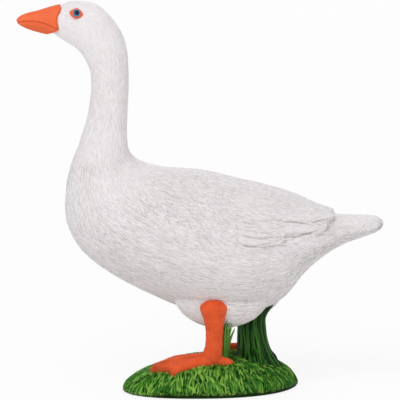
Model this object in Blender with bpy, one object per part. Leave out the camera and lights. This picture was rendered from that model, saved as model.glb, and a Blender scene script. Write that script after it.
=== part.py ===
"""Goose figurine: one solid moulding of a standing goose on a grass base.

The goose looks towards -X, its left side is towards -Y and +Z is up. The origin is the middle of
the flat underside of the base. Sizes are in millimetres and become metres when a mesh is made.
"""
import math
import random

import bmesh
import bpy
from mathutils import Matrix, Vector
from mathutils.bvhtree import BVHTree

MM = 0.001
SHARP_ANGLE = 50.0  # degrees; a flatter edge than this is shaded round

# Goose: its overall sizes. The sections below are stretched to them.
GOOSE_LENGTH = 75.1  # from the tip of the bill to the end of the tail
GOOSE_HEIGHT = 79.9  # from the ground to the crown
GOOSE_WIDTH = 27.2  # over the wings

# Sections from inside the bill, over the crown, down the neck and along the body to the tail.
# Each has its throat or belly point (x, z), its nape or back point (x, z) and its half width.
GOOSE_SECTIONS = [
    ((-34.2, 74.2), (-33.2, 78.0), 1.6),  # inside the bill
    ((-32.7, 73.4), (-31.1, 79.0), 2.1),  # bill root
    ((-29.9, 71.5), (-28.2, 79.9), 3.0),  # eyes
    ((-27.4, 69.8), (-23.3, 79.1), 3.3),  # crown
    ((-25.8, 67.6), (-19.1, 74.5), 3.3),  # back of the head
    ((-24.8, 64.6), (-17.4, 69.9), 3.3),  # nape
    ((-24.8, 60.7), (-17.0, 62.8), 3.4),  # upper neck
    ((-25.6, 55.7), (-17.3, 56.1), 3.7),  # middle of the neck
    ((-27.2, 50.5), (-17.3, 50.9), 4.7),  # lower neck
    ((-28.9, 45.9), (-16.6, 48.4), 6.3),  # neck root
    ((-29.9, 41.1), (-14.4, 46.6), 8.3),  # shoulders
    ((-29.8, 34.4), (-10.6, 45.5), 10.4),  # breast
    ((-26.8, 28.5), (-6.5, 45.1), 12.0),
    ((-20.6, 23.5), (-1.6, 44.7), 13.2),
    ((-13.1, 19.5), (3.5, 43.5), 13.6),  # widest part of the body
    ((-5.7, 16.4), (7.6, 42.2), 13.4),
    ((2.0, 14.6), (11.1, 41.1), 12.6),  # belly
    ((9.0, 15.5), (14.1, 40.0), 11.3),
    ((14.7, 18.6), (17.4, 38.6), 9.8),
    ((19.2, 23.9), (20.5, 37.0), 8.4),  # rump
    ((23.3, 27.5), (23.3, 35.9), 7.8),  # tail root
    ((27.2, 29.9), (26.8, 35.2), 8.2),
    ((31.0, 31.5), (30.8, 34.8), 8.4),  # tail fan
    ((33.6, 32.5), (33.5, 34.6), 7.0),
    ((35.1, 33.3), (35.1, 34.3), 5.0),  # end of the tail
]
BELLY_TAPER = 0.08  # how much narrower a section is below its middle than above it
GOOSE_SIDES = 28
GOOSE_RINGS = 46

# Bill: upper and lower half, by (x, lower z, upper z, half width) from inside the head to the tip.
UPPER_BILL = [
    (-29.6, 74.8, 78.9, 1.6),
    (-31.2, 74.3, 79.3, 2.4),
    (-33.7, 74.7, 78.6, 2.25),
    (-35.8, 75.1, 78.0, 2.0),
    (-37.7, 75.2, 77.5, 1.7),
    (-39.1, 75.3, 76.9, 1.35),
    (-40.0, 75.5, 76.3, 0.95),
]
LOWER_BILL = [
    (-29.6, 73.6, 75.6, 1.4),
    (-31.0, 73.2, 76.0, 2.15),
    (-33.4, 72.8, 76.3, 2.05),
    (-35.6, 73.4, 76.4, 1.8),
    (-37.3, 74.0, 76.4, 1.5),
    (-38.7, 74.6, 76.2, 1.1),
    (-39.5, 75.0, 75.9, 0.8),
]
BILL_CORE_WIDTH = 0.92  # share of the bill's width that is left in the groove between its halves

# Eyes: a lens inside a raised lid, between two sections of the head.
EYE_SECTION = 2.2
EYE_ANGLE = 56.0  # degrees down from the crown
EYE_DIAMETER = 1.7
EYE_THICKNESS = 1.1
LID_LENGTH = 2.75
LID_HEIGHT = 2.2
LID_THICKNESS = 0.7

# Wings: a low shell, short coverts in front and long feathers behind. Each long feather runs from
# one section and angle to another, angles being degrees down from the middle of the back, and has
# its half width at the root and at the tip and its lift. The first one is the lowest.
WING_SHELL_ANGLES = (12.4, 42.0, 20.2, 34.0)
WING_SHELL_SIZES = (7.4, 5.0, 0.4)
FLIGHT_FEATHER_ANGLES = [
    (15.2, 73.0, 17.7, 71.0),
    (15.1, 67.0, 18.6, 67.0),
    (15.0, 61.0, 20.1, 54.0),
    (14.4, 42.0, 20.3, 33.0),
    (14.2, 26.0, 20.5, 20.0),
    (14.6, 10.0, 20.4, 8.0),
]
FLIGHT_FEATHER_SIZES = [
    (1.4, 1.1, 0.5),
    (1.4, 1.2, 0.8),
    (1.5, 1.4, 1.1),
    (3.4, 2.2, 1.6),
    (3.2, 2.4, 1.5),
    (2.6, 2.2, 1.25),
]
# Coverts: rows of short feathers by (section, first angle, last angle), and how many in each row.
COVERT_ROW_ANGLES = [(12.5, 36.0, 60.0), (13.5, 30.0, 64.0), (14.3, 24.0, 66.0)]
COVERT_COUNTS = [3, 4, 4]
COVERT_SECTIONS = 1.4  # how far a covert runs, in sections
COVERT_HALF_WIDTH = 2.4
COVERT_LIFT = 0.45
FEATHER_ROOT_DEPTH = 1.2
TAIL_FEATHERS = 7
TAIL_FAN_ANGLE = 66.0  # degrees from the middle feather to the outermost
TAIL_FEATHER_HALF_WIDTH = 1.5
TAIL_FEATHER_LIFT = 0.35

# Base: a low grass mound with a flat underside.
BASE_LENGTH = 35.4
BASE_DEPTH = 29.8
LEFT_SKEW = 0.24  # how far the left side of the base is drawn forwards, per unit of depth
RIGHT_SKEW = 0.12  # and the right side backwards
RIGHT_TAPER = 0.14  # share of the length that its right side has lost at its edge
BASE_CORNER_POWER = 2.4
BASE_RIM_HEIGHT = 0.4
MOUND_HEIGHT = 6.3
MOUND_FLATNESS = 3.2  # the higher, the steeper its edge
FRONT_SLOPE = 1.7  # taken off the flatness at the end under the beak
REAR_SLOPE = 0.9  # and at the end under the tail
BLADE_ROW_SHARES = [0.45, 0.63, 0.80, 0.94]  # of the way out to the rim
BLADE_COUNTS = [11, 15, 19, 23]
BLADE_LENGTH = 4.6
BLADE_WIDTH = 1.8
BLADE_HEIGHT = 0.5
BLADE_SEED = 7

# Legs: the left one is forward, the right one back. A leg's place is the middle of its shank.
LEFT_LEG_X = 0.4
RIGHT_LEG_X = 9.0
RIGHT_FOOT_TURN = 24.0  # degrees outwards; the left foot points straight ahead
LEG_SPREAD = 16.8  # between the shanks, across the body
HOCK_RISE = 6.7  # from the bottom of the thigh to the top of the hock
HOCK_SWELL = 1.8  # from the top of the hock down to its widest place
HOCK_NECK = 4.2  # and down to where it narrows into the shank
HOCK_LENGTH = 5.6
HOCK_WIDTH = 5.2
SHANK_LENGTH = 3.6
SHANK_WIDTH = 3.2
ANKLE_LENGTH = 4.0
LEFT_THIGH_X = 2.0
RIGHT_THIGH_X = 5.2
THIGH_LENGTH = 20.4
THIGH_WIDTH = 8.2
THIGH_HEIGHT = 16.0
THIGH_DROP = 1.7  # below the lowest point of the belly
THIGH_SPREAD = 10.0

# Feet: three webbed toes to the front and a short one behind.
TOE_LENGTHS = (10.4, 13.4, 9.6)  # inner, middle and outer
TOE_SPLAYS = (-15.0, 0.0, 20.0)  # inner, middle and outer, in degrees
TOE_WIDTH = 2.3
FOOT_THICKNESS = 2.8
TOE_THICKNESS = 2.0
WEB_THICKNESS = 1.2
WEB_REACH = 0.80  # share of the toes' length at the middle of the web's front edge
HIND_TOE_LENGTH = 4.2
HIND_TOE_SPLAY = 180.0

# Grass post: it stands under the tail and carries the body, with a tuft behind the left leg.
POST_X = 8.1
POST_LENGTH = 5.5
POST_DEPTH = 7.0
POST_FOOT_LENGTH = 8.0
POST_BLADES = 11
POST_SIDES = 3 * POST_BLADES
POST_GROOVE = 0.13  # share of the post's radius
TUFT_BLADES = 4
TUFT_BLADE_WIDTH = 1.5
ROOT_DEPTH = 1.5  # how far feet and blades run into the mound
SEAT_DEPTH = 1.5  # how far the post and its tuft run into the body above them


def between(points, place):
    """A smooth curve through a list of tuples, read at a place from 0 to the last index."""
    last = len(points) - 1
    index = min(int(place), last - 1)
    share = place - index
    a = points[max(index - 1, 0)]
    b = points[index]
    c = points[index + 1]
    d = points[min(index + 2, last)]

    def smooth(p, q, r, s):
        bend = 2 * p - 5 * q + 4 * r - s
        twist = 3 * (q - r) + s - p
        return q + 0.5 * share * (r - p + share * (bend + share * twist))

    return [smooth(*four) for four in zip(a, b, c, d)]


def section_point(sections, place, angle, lift=0.0, taper=0.0, flutes=0, groove=0.0):
    """A point on the skin drawn through the sections: angle 0 is the back, 180 degrees the belly."""
    x0, z0, x1, z1, half_width = between(sections, place)
    end = min(place, len(sections) - 1 - place)
    closing = math.sqrt(max(0.0, 1 - max(0.0, 1 - end) ** 2))
    middle = Vector(((x0 + x1) / 2, 0, (z0 + z1) / 2))
    up = Vector(((x1 - x0) / 2, 0, (z1 - z0) / 2))
    ripple = 1 + groove * math.cos(flutes * angle)
    reach = ripple * closing + lift / up.length
    side = ripple * closing * half_width + lift
    swell = 1 + taper * math.cos(angle)
    return middle + up * math.cos(angle) * reach + Vector((0, math.sin(angle) * side * swell, 0))


def drawn(sections, around, along, **shape):
    """A closed body: a ball whose rings are drawn out along the sections."""
    bm = bmesh.new()
    bmesh.ops.create_uvsphere(bm, u_segments=around, v_segments=along, radius=1.0)
    last = len(sections) - 1
    for vert in bm.verts:
        share = math.acos(max(-1.0, min(1.0, vert.co.z))) / math.pi
        angle = math.atan2(vert.co.y, vert.co.x)
        vert.co = section_point(sections, share * last, angle, **shape)
    bmesh.ops.recalc_face_normals(bm, faces=bm.faces)
    return bm


def plate(along, across, place):
    """A closed slab: place(u, v, w) puts each point, with u from 0 to 1 along the slab,
    v from -1 to 1 across it, and w 0 underneath and 1 on top."""
    bm = bmesh.new()
    bmesh.ops.create_grid(bm, x_segments=along, y_segments=across, size=1.0)
    top = bmesh.ops.extrude_face_region(bm, geom=bm.faces[:], use_keep_orig=True)
    for item in top["geom"]:
        if isinstance(item, bmesh.types.BMVert):
            item.co.z = 1.0
    for vert in bm.verts:
        vert.co = place((vert.co.x + 1) / 2, vert.co.y, vert.co.z)
    bmesh.ops.recalc_face_normals(bm, faces=bm.faces)
    return bm


def stretches():
    """How far the sections are stretched along, up and across to reach the overall sizes."""
    tail_end = GOOSE_SECTIONS[-1][0][0]
    bill_tip = UPPER_BILL[-1][0]
    crown = max(high[1] for low, high, half_width in GOOSE_SECTIONS)
    widest = max(half_width for low, high, half_width in GOOSE_SECTIONS)
    return GOOSE_LENGTH / (tail_end - bill_tip), GOOSE_HEIGHT / crown, GOOSE_WIDTH / (2 * widest)


ALONG, UP, ACROSS = stretches()
GOOSE = [
    (low[0] * ALONG, low[1] * UP, high[0] * ALONG, high[1] * UP, half_width * ACROSS)
    for low, high, half_width in GOOSE_SECTIONS
]
BELLY_HEIGHT = min(low_z for _, low_z, _, _, _ in GOOSE)
THIGH_BOTTOM = BELLY_HEIGHT - THIGH_DROP
HOCK_HEIGHT = THIGH_BOTTOM + HOCK_RISE


def goose_point(place, angle, lift=0.0):
    return section_point(GOOSE, place, angle, lift, BELLY_TAPER)


def goose_body():
    """Head, neck, body and tail as one skin."""
    return drawn(GOOSE, GOOSE_SIDES, GOOSE_RINGS, taper=BELLY_TAPER)


def bill_half(rows):
    """One half of the bill, from its rows of x, lower z, upper z and half width."""
    sections = [
        (x * ALONG, low * UP, x * ALONG, high * UP, half_width * ACROSS)
        for x, low, high, half_width in rows
    ]
    return drawn(sections, 10, 9)


def bill():
    """Two closed halves and the core behind the groove where they meet."""
    core = []
    for (_, _, high, upper_half), (x, low, _, lower_half) in zip(UPPER_BILL, LOWER_BILL):
        core.append((x, low, high, min(upper_half, lower_half) * BILL_CORE_WIDTH))
    return [bill_half(UPPER_BILL), bill_half(LOWER_BILL), bill_half(core)]


def eye_on(side):
    """The lid and the lens on one side of the head; side is 1 or -1."""
    angle = side * math.radians(EYE_ANGLE)
    centre = goose_point(EYE_SECTION, angle)
    outward = (goose_point(EYE_SECTION, angle, 1.0) - centre).normalized()
    forward = (goose_point(EYE_SECTION - 0.3, angle) - centre).normalized()
    upward = outward.cross(forward).normalized()
    forward = upward.cross(outward)
    turn = Matrix((forward, upward, outward)).transposed().to_4x4()
    sizes = [
        (LID_LENGTH / 2, LID_HEIGHT / 2, LID_THICKNESS / 2, -0.08),
        (EYE_DIAMETER / 2, EYE_DIAMETER / 2, EYE_THICKNESS / 2, -0.1),
    ]
    bodies = []
    for length, height, depth, lift in sizes:
        bm = bmesh.new()
        bmesh.ops.create_uvsphere(bm, u_segments=12, v_segments=5, radius=1.0)
        bm.transform(Matrix.Diagonal((length, height, depth, 1)))
        bm.transform(Matrix.Translation(centre + outward * lift) @ turn)
        bodies.append(bm)
    return bodies


def feather(angles, sizes, side, along=5, across=3):
    """One feather laid on the skin. It rises out of it at its root and its round tip stands
    proud by its lift; side is 1 or -1."""
    first, first_angle, last, last_angle = angles
    root_half, tip_half, lift = sizes

    def place(u, v, w):
        spot = first + (last - first) * u
        x0, z0, x1, z1, width = between(GOOSE, spot)
        radius = (math.hypot(x1 - x0, z1 - z0) / 2 + width) / 2
        rounding = math.sqrt(1 - (0.98 * abs(2 * u - 1)) ** 8)
        half = (root_half + (tip_half - root_half) * u) * rounding
        angle = math.radians(first_angle + (last_angle - first_angle) * u) + v * half / radius
        crown = lift * (0.1 + 0.9 * u ** 0.6) * (1 - 0.35 * v ** 4)
        return goose_point(spot, side * angle, crown if w else -FEATHER_ROOT_DEPTH)

    return plate(along, across, place)


def wing(side):
    """A folded wing: a low shell, rows of coverts and the long flight feathers over it."""
    bodies = [feather(WING_SHELL_ANGLES, WING_SHELL_SIZES, side, 6, 4)]
    sizes = (COVERT_HALF_WIDTH, COVERT_HALF_WIDTH, COVERT_LIFT)
    for (place, first, last), count in zip(COVERT_ROW_ANGLES, COVERT_COUNTS):
        for i in range(count):
            angle = first + (last - first) * i / (count - 1)
            bodies.append(feather((place, angle, place + COVERT_SECTIONS, angle), sizes, side, 3, 2))
    for angles, sizes in zip(FLIGHT_FEATHER_ANGLES, FLIGHT_FEATHER_SIZES):
        bodies.append(feather(angles, sizes, side))
    return bodies


def tail_feathers():
    """The fan of the tail, in low relief on its upper face."""
    last = len(GOOSE) - 1
    middle = (TAIL_FEATHERS - 1) / 2
    sizes = (TAIL_FEATHER_HALF_WIDTH, TAIL_FEATHER_HALF_WIDTH, TAIL_FEATHER_LIFT)
    bodies = []
    for i in range(TAIL_FEATHERS):
        turn = (i - middle) / middle
        angle = turn * TAIL_FAN_ANGLE
        angles = (last - 3.6, angle, last - 0.55 - 0.25 * abs(turn), angle)
        bodies.append(feather(angles, sizes, 1, 3, 2))
    return bodies


def base_share(x, y):
    """How far out a point of the base is: 0 in the middle, 1 on the rim."""
    power = BASE_CORNER_POWER
    skew = LEFT_SKEW if y < 0 else RIGHT_SKEW
    length = BASE_LENGTH * (1 - RIGHT_TAPER * min(max(2 * y / BASE_DEPTH, 0), 1))
    along = 2 * (x - skew * y) / length
    across = 2 * y / BASE_DEPTH
    total = abs(along) ** power + abs(across) ** power
    return total ** (1 / power)


def ground(x, y):
    """Height of the mound under a point."""
    share = min(base_share(x, y), 1.0)
    turn = -x / max(math.hypot(x, y), 1e-9)
    slope = FRONT_SLOPE if turn > 0 else REAR_SLOPE
    flatness = MOUND_FLATNESS - slope * turn ** 2
    return BASE_RIM_HEIGHT + (MOUND_HEIGHT - BASE_RIM_HEIGHT) * math.sqrt(1 - share ** flatness)


def mound():
    """The base without its blades: a ball pressed flat underneath."""
    bm = bmesh.new()
    rings = 9
    bmesh.ops.create_uvsphere(bm, u_segments=32, v_segments=rings, radius=1.0)
    for vert in bm.verts:
        ring = round(math.acos(max(-1.0, min(1.0, vert.co.z))) / math.pi * rings)
        turn = math.atan2(vert.co.y, vert.co.x)
        share = math.sin(min(ring / (rings - 2), 1.0) * math.pi / 2)
        rim = 1 / max(base_share(math.cos(turn), math.sin(turn)), 1e-9)
        x = rim * math.cos(turn) * share
        y = rim * math.sin(turn) * share
        vert.co = (x, y, ground(x, y))
        if ring == rings - 1:
            vert.co.z = 0.0
        if ring == rings:
            vert.co = (0.0, 0.0, 0.0)
    under = [v for v in bm.verts if v.co.z == 0.0 and v.co.xy.length < 1e-6]
    bmesh.ops.dissolve_verts(bm, verts=under)
    bmesh.ops.recalc_face_normals(bm, faces=bm.faces)
    return bm


def lying_blade(x, y, heading, length, width, height):
    """A blade of grass combed over the mound: its root is sunk and its tip stands off it."""
    sections = []
    for share, size, rise in ((0, 0.5, 0.1), (0.3, 1.0, 0.7), (0.7, 0.8, 1.0), (1, 0.25, 0.9)):
        step = (share - 0.5) * length
        there = ground(x + math.cos(heading) * step, y + math.sin(heading) * step)
        top = there + height * rise
        root = max(there - ROOT_DEPTH, BASE_RIM_HEIGHT)
        sections.append((step, root, step, top, width / 2 * size))
    bm = drawn(sections, 4, 3)
    bm.transform(Matrix.Translation((x, y, 0)) @ Matrix.Rotation(heading, 4, "Z"))
    return bm


def lawn():
    """Rows of blades combed outwards over the mound."""
    chance = random.Random(BLADE_SEED)
    bodies = []
    for share, count in zip(BLADE_ROW_SHARES, BLADE_COUNTS):
        for i in range(count):
            turn = 2 * math.pi * (i + chance.uniform(-0.3, 0.3)) / count
            rim = share / base_share(math.cos(turn), math.sin(turn))
            x = rim * math.cos(turn)
            y = rim * math.sin(turn)
            x *= 1 - 0.5 * BLADE_LENGTH / BASE_LENGTH
            y *= 1 - 0.5 * BLADE_LENGTH / BASE_DEPTH
            heading = math.atan2(y / BASE_DEPTH, x / BASE_LENGTH) + chance.uniform(-0.25, 0.25)
            size = chance.uniform(0.85, 1.15)
            blade = (BLADE_LENGTH * size, BLADE_WIDTH * size, BLADE_HEIGHT * size)
            bodies.append(lying_blade(x, y, heading, *blade))
    return bodies


def thigh(middle_x, side):
    """The feathered thigh, a swelling low on the side of the body."""
    bm = bmesh.new()
    bmesh.ops.create_uvsphere(bm, u_segments=18, v_segments=9, radius=1.0)
    bm.transform(Matrix.Diagonal((THIGH_LENGTH / 2, THIGH_WIDTH / 2, THIGH_HEIGHT / 2, 1)))
    middle = (middle_x, side * THIGH_SPREAD / 2, THIGH_BOTTOM + THIGH_HEIGHT / 2)
    bm.transform(Matrix.Translation(middle))
    return bm


def shank(leg_x, side):
    """The bare leg from the hock, sunk in the thigh, to the ankle."""
    y = side * LEG_SPREAD / 2
    floor = ground(leg_x, y)
    top = HOCK_HEIGHT
    ankle = floor + FOOT_THICKNESS
    rows = [
        (top, HOCK_LENGTH * 0.75, HOCK_WIDTH * 0.8, 0.1),
        (top - HOCK_SWELL, HOCK_LENGTH, HOCK_WIDTH, -0.1),
        (top - HOCK_NECK, HOCK_LENGTH * 0.78, HOCK_WIDTH * 0.85, 0.05),
        ((top + ankle) / 2 - 1.2, SHANK_LENGTH, SHANK_WIDTH, 0.1),
        (ankle + 1.4, SHANK_LENGTH, SHANK_WIDTH, 0.0),
        (ankle - 0.4, ANKLE_LENGTH, SHANK_WIDTH, -0.3),
        (floor - 0.6, ANKLE_LENGTH, SHANK_WIDTH, -0.3),
    ]
    sections = []
    for z, length, width, shift in rows:
        x = leg_x + shift
        sections.append((x - length / 2, z, x + length / 2, z, width / 2))
    bm = drawn(sections, 12, 10)
    bm.transform(Matrix.Translation((0, y, 0)))
    return bm


def toe(leg_x, side, splay, length, thickness):
    """One toe, from under the ankle outwards over the mound; splay 0 points it straight ahead."""
    y = side * LEG_SPREAD / 2
    heading = math.pi - side * math.radians(splay)
    sections = []
    for share, size in ((-0.12, 0.9), (0.1, 1.0), (0.4, 0.85), (0.7, 0.8), (0.88, 0.75), (1, 0.4)):
        step = share * length
        floor = ground(leg_x + math.cos(heading) * step, y + math.sin(heading) * step)
        rise = FOOT_THICKNESS + (thickness - FOOT_THICKNESS) * max(share, 0) ** 0.6
        top = floor + rise * (0.6 + 0.4 * size)
        sections.append((step, floor - ROOT_DEPTH, step, top, TOE_WIDTH / 2 * size))
    bm = drawn(sections, 8, 7)
    bm.transform(Matrix.Translation((leg_x, y, 0)) @ Matrix.Rotation(heading, 4, "Z"))
    return bm


def web(leg_x, side, turn):
    """The skin between the front toes, cut back in arcs between their tips."""
    centre_y = side * LEG_SPREAD / 2
    toes = list(zip(TOE_SPLAYS, TOE_LENGTHS))

    def place(u, v, w):
        spot = v + 1
        splay, length = between(toes, spot)
        heading = math.pi - side * math.radians(splay + turn)
        dip = math.sin(math.pi * spot) ** 2
        step = length * (0.94 + (WEB_REACH - 0.94) * dip) * (0.1 + 0.9 * u)
        x = leg_x + math.cos(heading) * step
        y = centre_y + math.sin(heading) * step
        thickness = FOOT_THICKNESS * 0.9 + (WEB_THICKNESS - FOOT_THICKNESS * 0.9) * min(1, 1.5 * u)
        return Vector((x, y, ground(x, y) + (thickness if w else -ROOT_DEPTH)))

    return plate(4, 8, place)


def leg(leg_x, side, turn):
    """A bare leg: shank, toes and web, with the foot turned outwards by some degrees."""
    toes = [
        toe(leg_x, side, splay + turn, length, TOE_THICKNESS)
        for splay, length in zip(TOE_SPLAYS, TOE_LENGTHS)
    ]
    hind = toe(leg_x, side, HIND_TOE_SPLAY + turn, HIND_TOE_LENGTH, TOE_THICKNESS * 0.8)
    return [shank(leg_x, side), web(leg_x, side, turn), hind] + toes


def underside(skin, x, y):
    """Height of the goose's belly over a point of the base."""
    hit = skin.ray_cast(Vector((x, y, 0)), Vector((0, 0, 1)))[0]
    return hit.z


def post(skin):
    """A bundle of tall grass under the body, flared into the mound below and the belly above."""
    floor = ground(POST_X, 0)
    top = underside(skin, POST_X, 0) + SEAT_DEPTH
    rise = top - floor
    half = POST_LENGTH / 2
    foot = POST_FOOT_LENGTH / 2
    rows = [
        (-0.25, foot * 1.2, foot * 1.1, 1.0),
        (0.02, foot, foot * 0.95, 1.0),
        (0.2, half * 1.15, POST_DEPTH / 2 * 1.15, 0.45),
        (0.5, half, POST_DEPTH / 2, 0.1),
        (0.78, half, POST_DEPTH / 2, 0.1),
        (1.02, half * 1.25, POST_DEPTH / 2 * 1.1, 0.9),
        (1.35, half * 1.4, POST_DEPTH / 2 * 1.1, 1.5),
    ]
    sections = []
    for share, length, depth, shift in rows:
        x = POST_X + shift
        z = floor + rise * share
        sections.append((x - length, z, x + length, z, depth))
    return drawn(sections, POST_SIDES, 9, flutes=POST_BLADES, groove=POST_GROOVE)


def tuft(skin):
    """Blades that stand behind the left leg and lean on the belly."""
    y = -LEG_SPREAD / 2
    bodies = []
    for i in range(TUFT_BLADES):
        share = i / (TUFT_BLADES - 1)
        foot_x = LEFT_LEG_X + SHANK_LENGTH / 2 + 0.35 + 0.55 * share
        tip_x = foot_x + 0.2 + 1.3 * share
        foot_y = y + 0.9 + 0.6 * math.cos(math.pi * i)
        tip_z = underside(skin, tip_x, foot_y) + 0.6 * SEAT_DEPTH
        floor = ground(foot_x, foot_y)
        sections = []
        for part, size in ((-0.15, 1.0), (0.1, 1.15), (0.45, 0.85), (0.8, 0.7), (1.0, 0.35)):
            x = foot_x + (tip_x - foot_x) * max(part, 0) ** 1.6
            z = floor + (tip_z - floor) * part
            half = TUFT_BLADE_WIDTH / 2 * size
            sections.append((x - half, z, x + half, z, half * 0.8))
        bm = drawn(sections, 6, 7)
        bm.transform(Matrix.Translation((0, foot_y, 0)))
        bodies.append(bm)
    return bodies


def material():
    """White moulded plastic, under the paint."""
    white = bpy.data.materials.new("painted_plastic")
    white.use_nodes = True
    shader = white.node_tree.nodes["Principled BSDF"]
    shader.inputs["Base Color"].default_value = (0.75, 0.72, 0.73, 1)
    shader.inputs["Roughness"].default_value = 0.55
    shader.inputs["Metallic"].default_value = 0.0
    return white


def mesh_object(name, bm):
    """A bmesh in millimetres as an object in metres."""
    bm.transform(Matrix.Scale(MM, 4))
    mesh = bpy.data.meshes.new(name)
    bm.to_mesh(mesh)
    bm.free()
    mesh.shade_smooth()
    mesh.set_sharp_from_angle(angle=math.radians(SHARP_ANGLE))
    return bpy.data.objects.new(name, mesh)


def main():
    for old in list(bpy.data.objects):
        bpy.data.objects.remove(old)

    body = goose_body()
    skin = BVHTree.FromBMesh(body)
    forms = bill() + eye_on(-1) + eye_on(1) + wing(-1) + wing(1) + tail_feathers()
    forms += [thigh(LEFT_THIGH_X, -1), thigh(RIGHT_THIGH_X, 1), mound()] + lawn()
    forms += leg(LEFT_LEG_X, -1, 0.0) + leg(RIGHT_LEG_X, 1, RIGHT_FOOT_TURN)
    forms += [post(skin)] + tuft(skin)

    joined = bpy.data.collections.new("forms_joined_to_the_body")
    bpy.context.scene.collection.children.link(joined)
    for number, form in enumerate(forms):
        guide = mesh_object(f"form_{number:03d}", form)
        guide.hide_render = True
        guide.display_type = "WIRE"
        joined.objects.link(guide)

    goose = mesh_object("goose_figurine", body)
    goose.data.materials.append(material())
    bpy.context.scene.collection.objects.link(goose)
    union = goose.modifiers.new("one_moulding", "BOOLEAN")
    union.operation = "UNION"
    union.solver = "EXACT"
    union.operand_type = "COLLECTION"
    union.collection = joined
    shading = goose.modifiers.new("clean_shading", "WEIGHTED_NORMAL")
    shading.keep_sharp = True
    shading.weight = 100


main()
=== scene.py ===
"""Looks of the goose figurine: a hand-painted plastic goose on a low mound of grass.

Pieces are modelled in millimetres, in the frame's axes, and become metres when they are finished.
The goose looks towards -X, its left side is towards -Y and +Z is up.
"""

import math
import random

import bmesh
import bpy
import numpy as np
from mathutils import Matrix, Vector, noise
from mathutils.bvhtree import BVHTree
from mathutils.kdtree import KDTree

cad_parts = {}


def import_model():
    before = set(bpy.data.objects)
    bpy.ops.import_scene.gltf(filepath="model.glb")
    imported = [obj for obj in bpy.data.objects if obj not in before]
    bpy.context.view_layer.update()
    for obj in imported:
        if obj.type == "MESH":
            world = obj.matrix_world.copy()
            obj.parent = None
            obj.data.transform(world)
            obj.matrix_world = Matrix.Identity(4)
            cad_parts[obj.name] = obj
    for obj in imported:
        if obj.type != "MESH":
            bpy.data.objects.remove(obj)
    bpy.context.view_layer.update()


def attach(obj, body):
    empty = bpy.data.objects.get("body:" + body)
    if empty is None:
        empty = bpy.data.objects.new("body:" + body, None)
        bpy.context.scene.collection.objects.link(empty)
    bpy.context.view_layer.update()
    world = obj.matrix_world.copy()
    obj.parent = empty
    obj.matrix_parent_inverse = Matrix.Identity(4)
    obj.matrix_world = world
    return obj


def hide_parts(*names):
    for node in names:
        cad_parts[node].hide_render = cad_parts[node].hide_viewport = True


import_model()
MM = 0.001

# Grass mound. The figurine's foot: a low mound with a flat underside, moulded with the goose and
# painted dark green before the blades on it are picked out in lighter greens.
BASE_LENGTH = 35.4
BASE_DEPTH = 29.8
LEFT_SKEW = 0.24
RIGHT_SKEW = 0.12
RIGHT_TAPER = 0.14
BASE_CORNER_POWER = 2.4
BASE_RIM_HEIGHT = 0.4
MOUND_HEIGHT = 6.3
MOUND_FLATNESS = 3.2
FRONT_SLOPE = 1.7
REAR_SLOPE = 0.9
MOUND_SIDES = 150
MOUND_RINGS = 40
CLUMP_SIZE = 1.6
CLUMP_HEIGHT = 0.16
SOIL_DEPTH = 0.38
FLATTENED_DEPTH = 0.35
BANK_HEIGHT = 0.6
BANK_WIDTH = 2.4
BANK_ROUTE = [(-13.6, -8.6), (-12.6, -10.2), (-9.0, -12.6), (-3.4, -10.9), (0.6, -10.2), (4.8, -9.3)]
BANK_GAP = (-8.6, -12.2)
FLAT_BEHIND_Y = (0.0, 4.0)
FLAT_BEHIND_X = (2.0, -2.0)
FLAT_FRONT_X = (-6.0, -12.0)
FLAT_FRONT_SHARE = 0.6
SOIL_RIM_SHARE = 0.975
SOIL_SHADE_AND_WASH = 0.35


def ramp(value, start, end):
    """0 at the start and before it, 1 at the end and beyond it, and straight between them."""
    return np.clip((value - start) / (end - start), 0, 1)


def base_share(x, y):
    """How far out points of the base are: 0 in the middle, 1 on the rim."""
    skew = np.where(y < 0, LEFT_SKEW, RIGHT_SKEW)
    length = BASE_LENGTH * (1 - RIGHT_TAPER * np.clip(2 * y / BASE_DEPTH, 0, 1))
    along = np.abs(2 * (x - skew * y) / length)
    across = np.abs(2 * y / BASE_DEPTH)
    return (along ** BASE_CORNER_POWER + across ** BASE_CORNER_POWER) ** (1 / BASE_CORNER_POWER)


def ground(x, y):
    """Height of the mound under points."""
    share = np.minimum(base_share(x, y), 1.0)
    turn = -x / np.maximum(np.hypot(x, y), 1e-9)
    flatness = MOUND_FLATNESS - np.where(turn > 0, FRONT_SLOPE, REAR_SLOPE) * turn ** 2
    dome = np.sqrt(np.maximum(1 - share ** flatness, 0))
    return BASE_RIM_HEIGHT + (MOUND_HEIGHT - BASE_RIM_HEIGHT) * dome


def flattened(x, y):
    """Where the grass is pressed flat: 1 behind the left foot and less in front of it."""
    behind = ramp(y, *FLAT_BEHIND_Y) * ramp(x, *FLAT_BEHIND_X)
    return np.maximum(behind, FLAT_FRONT_SHARE * ramp(x, *FLAT_FRONT_X))


def banked(x, y):
    """How far the grass climbs against the near side of the left foot: 1 at its edge, and 0 where
    the tip of the outer toe presses it down."""
    away = np.full(np.shape(x), BANK_WIDTH)
    for (x0, y0), (x1, y1) in zip(BANK_ROUTE, BANK_ROUTE[1:]):
        length = math.hypot(x1 - x0, y1 - y0)
        share = np.clip(((x - x0) * (x1 - x0) + (y - y0) * (y1 - y0)) / length ** 2, 0, 1)
        away = np.minimum(away, np.hypot(x - x0 - share * (x1 - x0), y - y0 - share * (y1 - y0)))
    gap = ramp(np.hypot(x - BANK_GAP[0], y - BANK_GAP[1]), 0.9, 1.9)
    return np.clip(1.3 * (1 - away / BANK_WIDTH), 0, 1) * gap


def soil(x, y):
    """Height of the mound between its blades, which reach up to the ground's height."""
    depth = SOIL_DEPTH + FLATTENED_DEPTH * flattened(x, y) - BANK_HEIGHT * banked(x, y)
    return np.maximum(ground(x, y) - depth, BASE_RIM_HEIGHT / 4)


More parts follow.
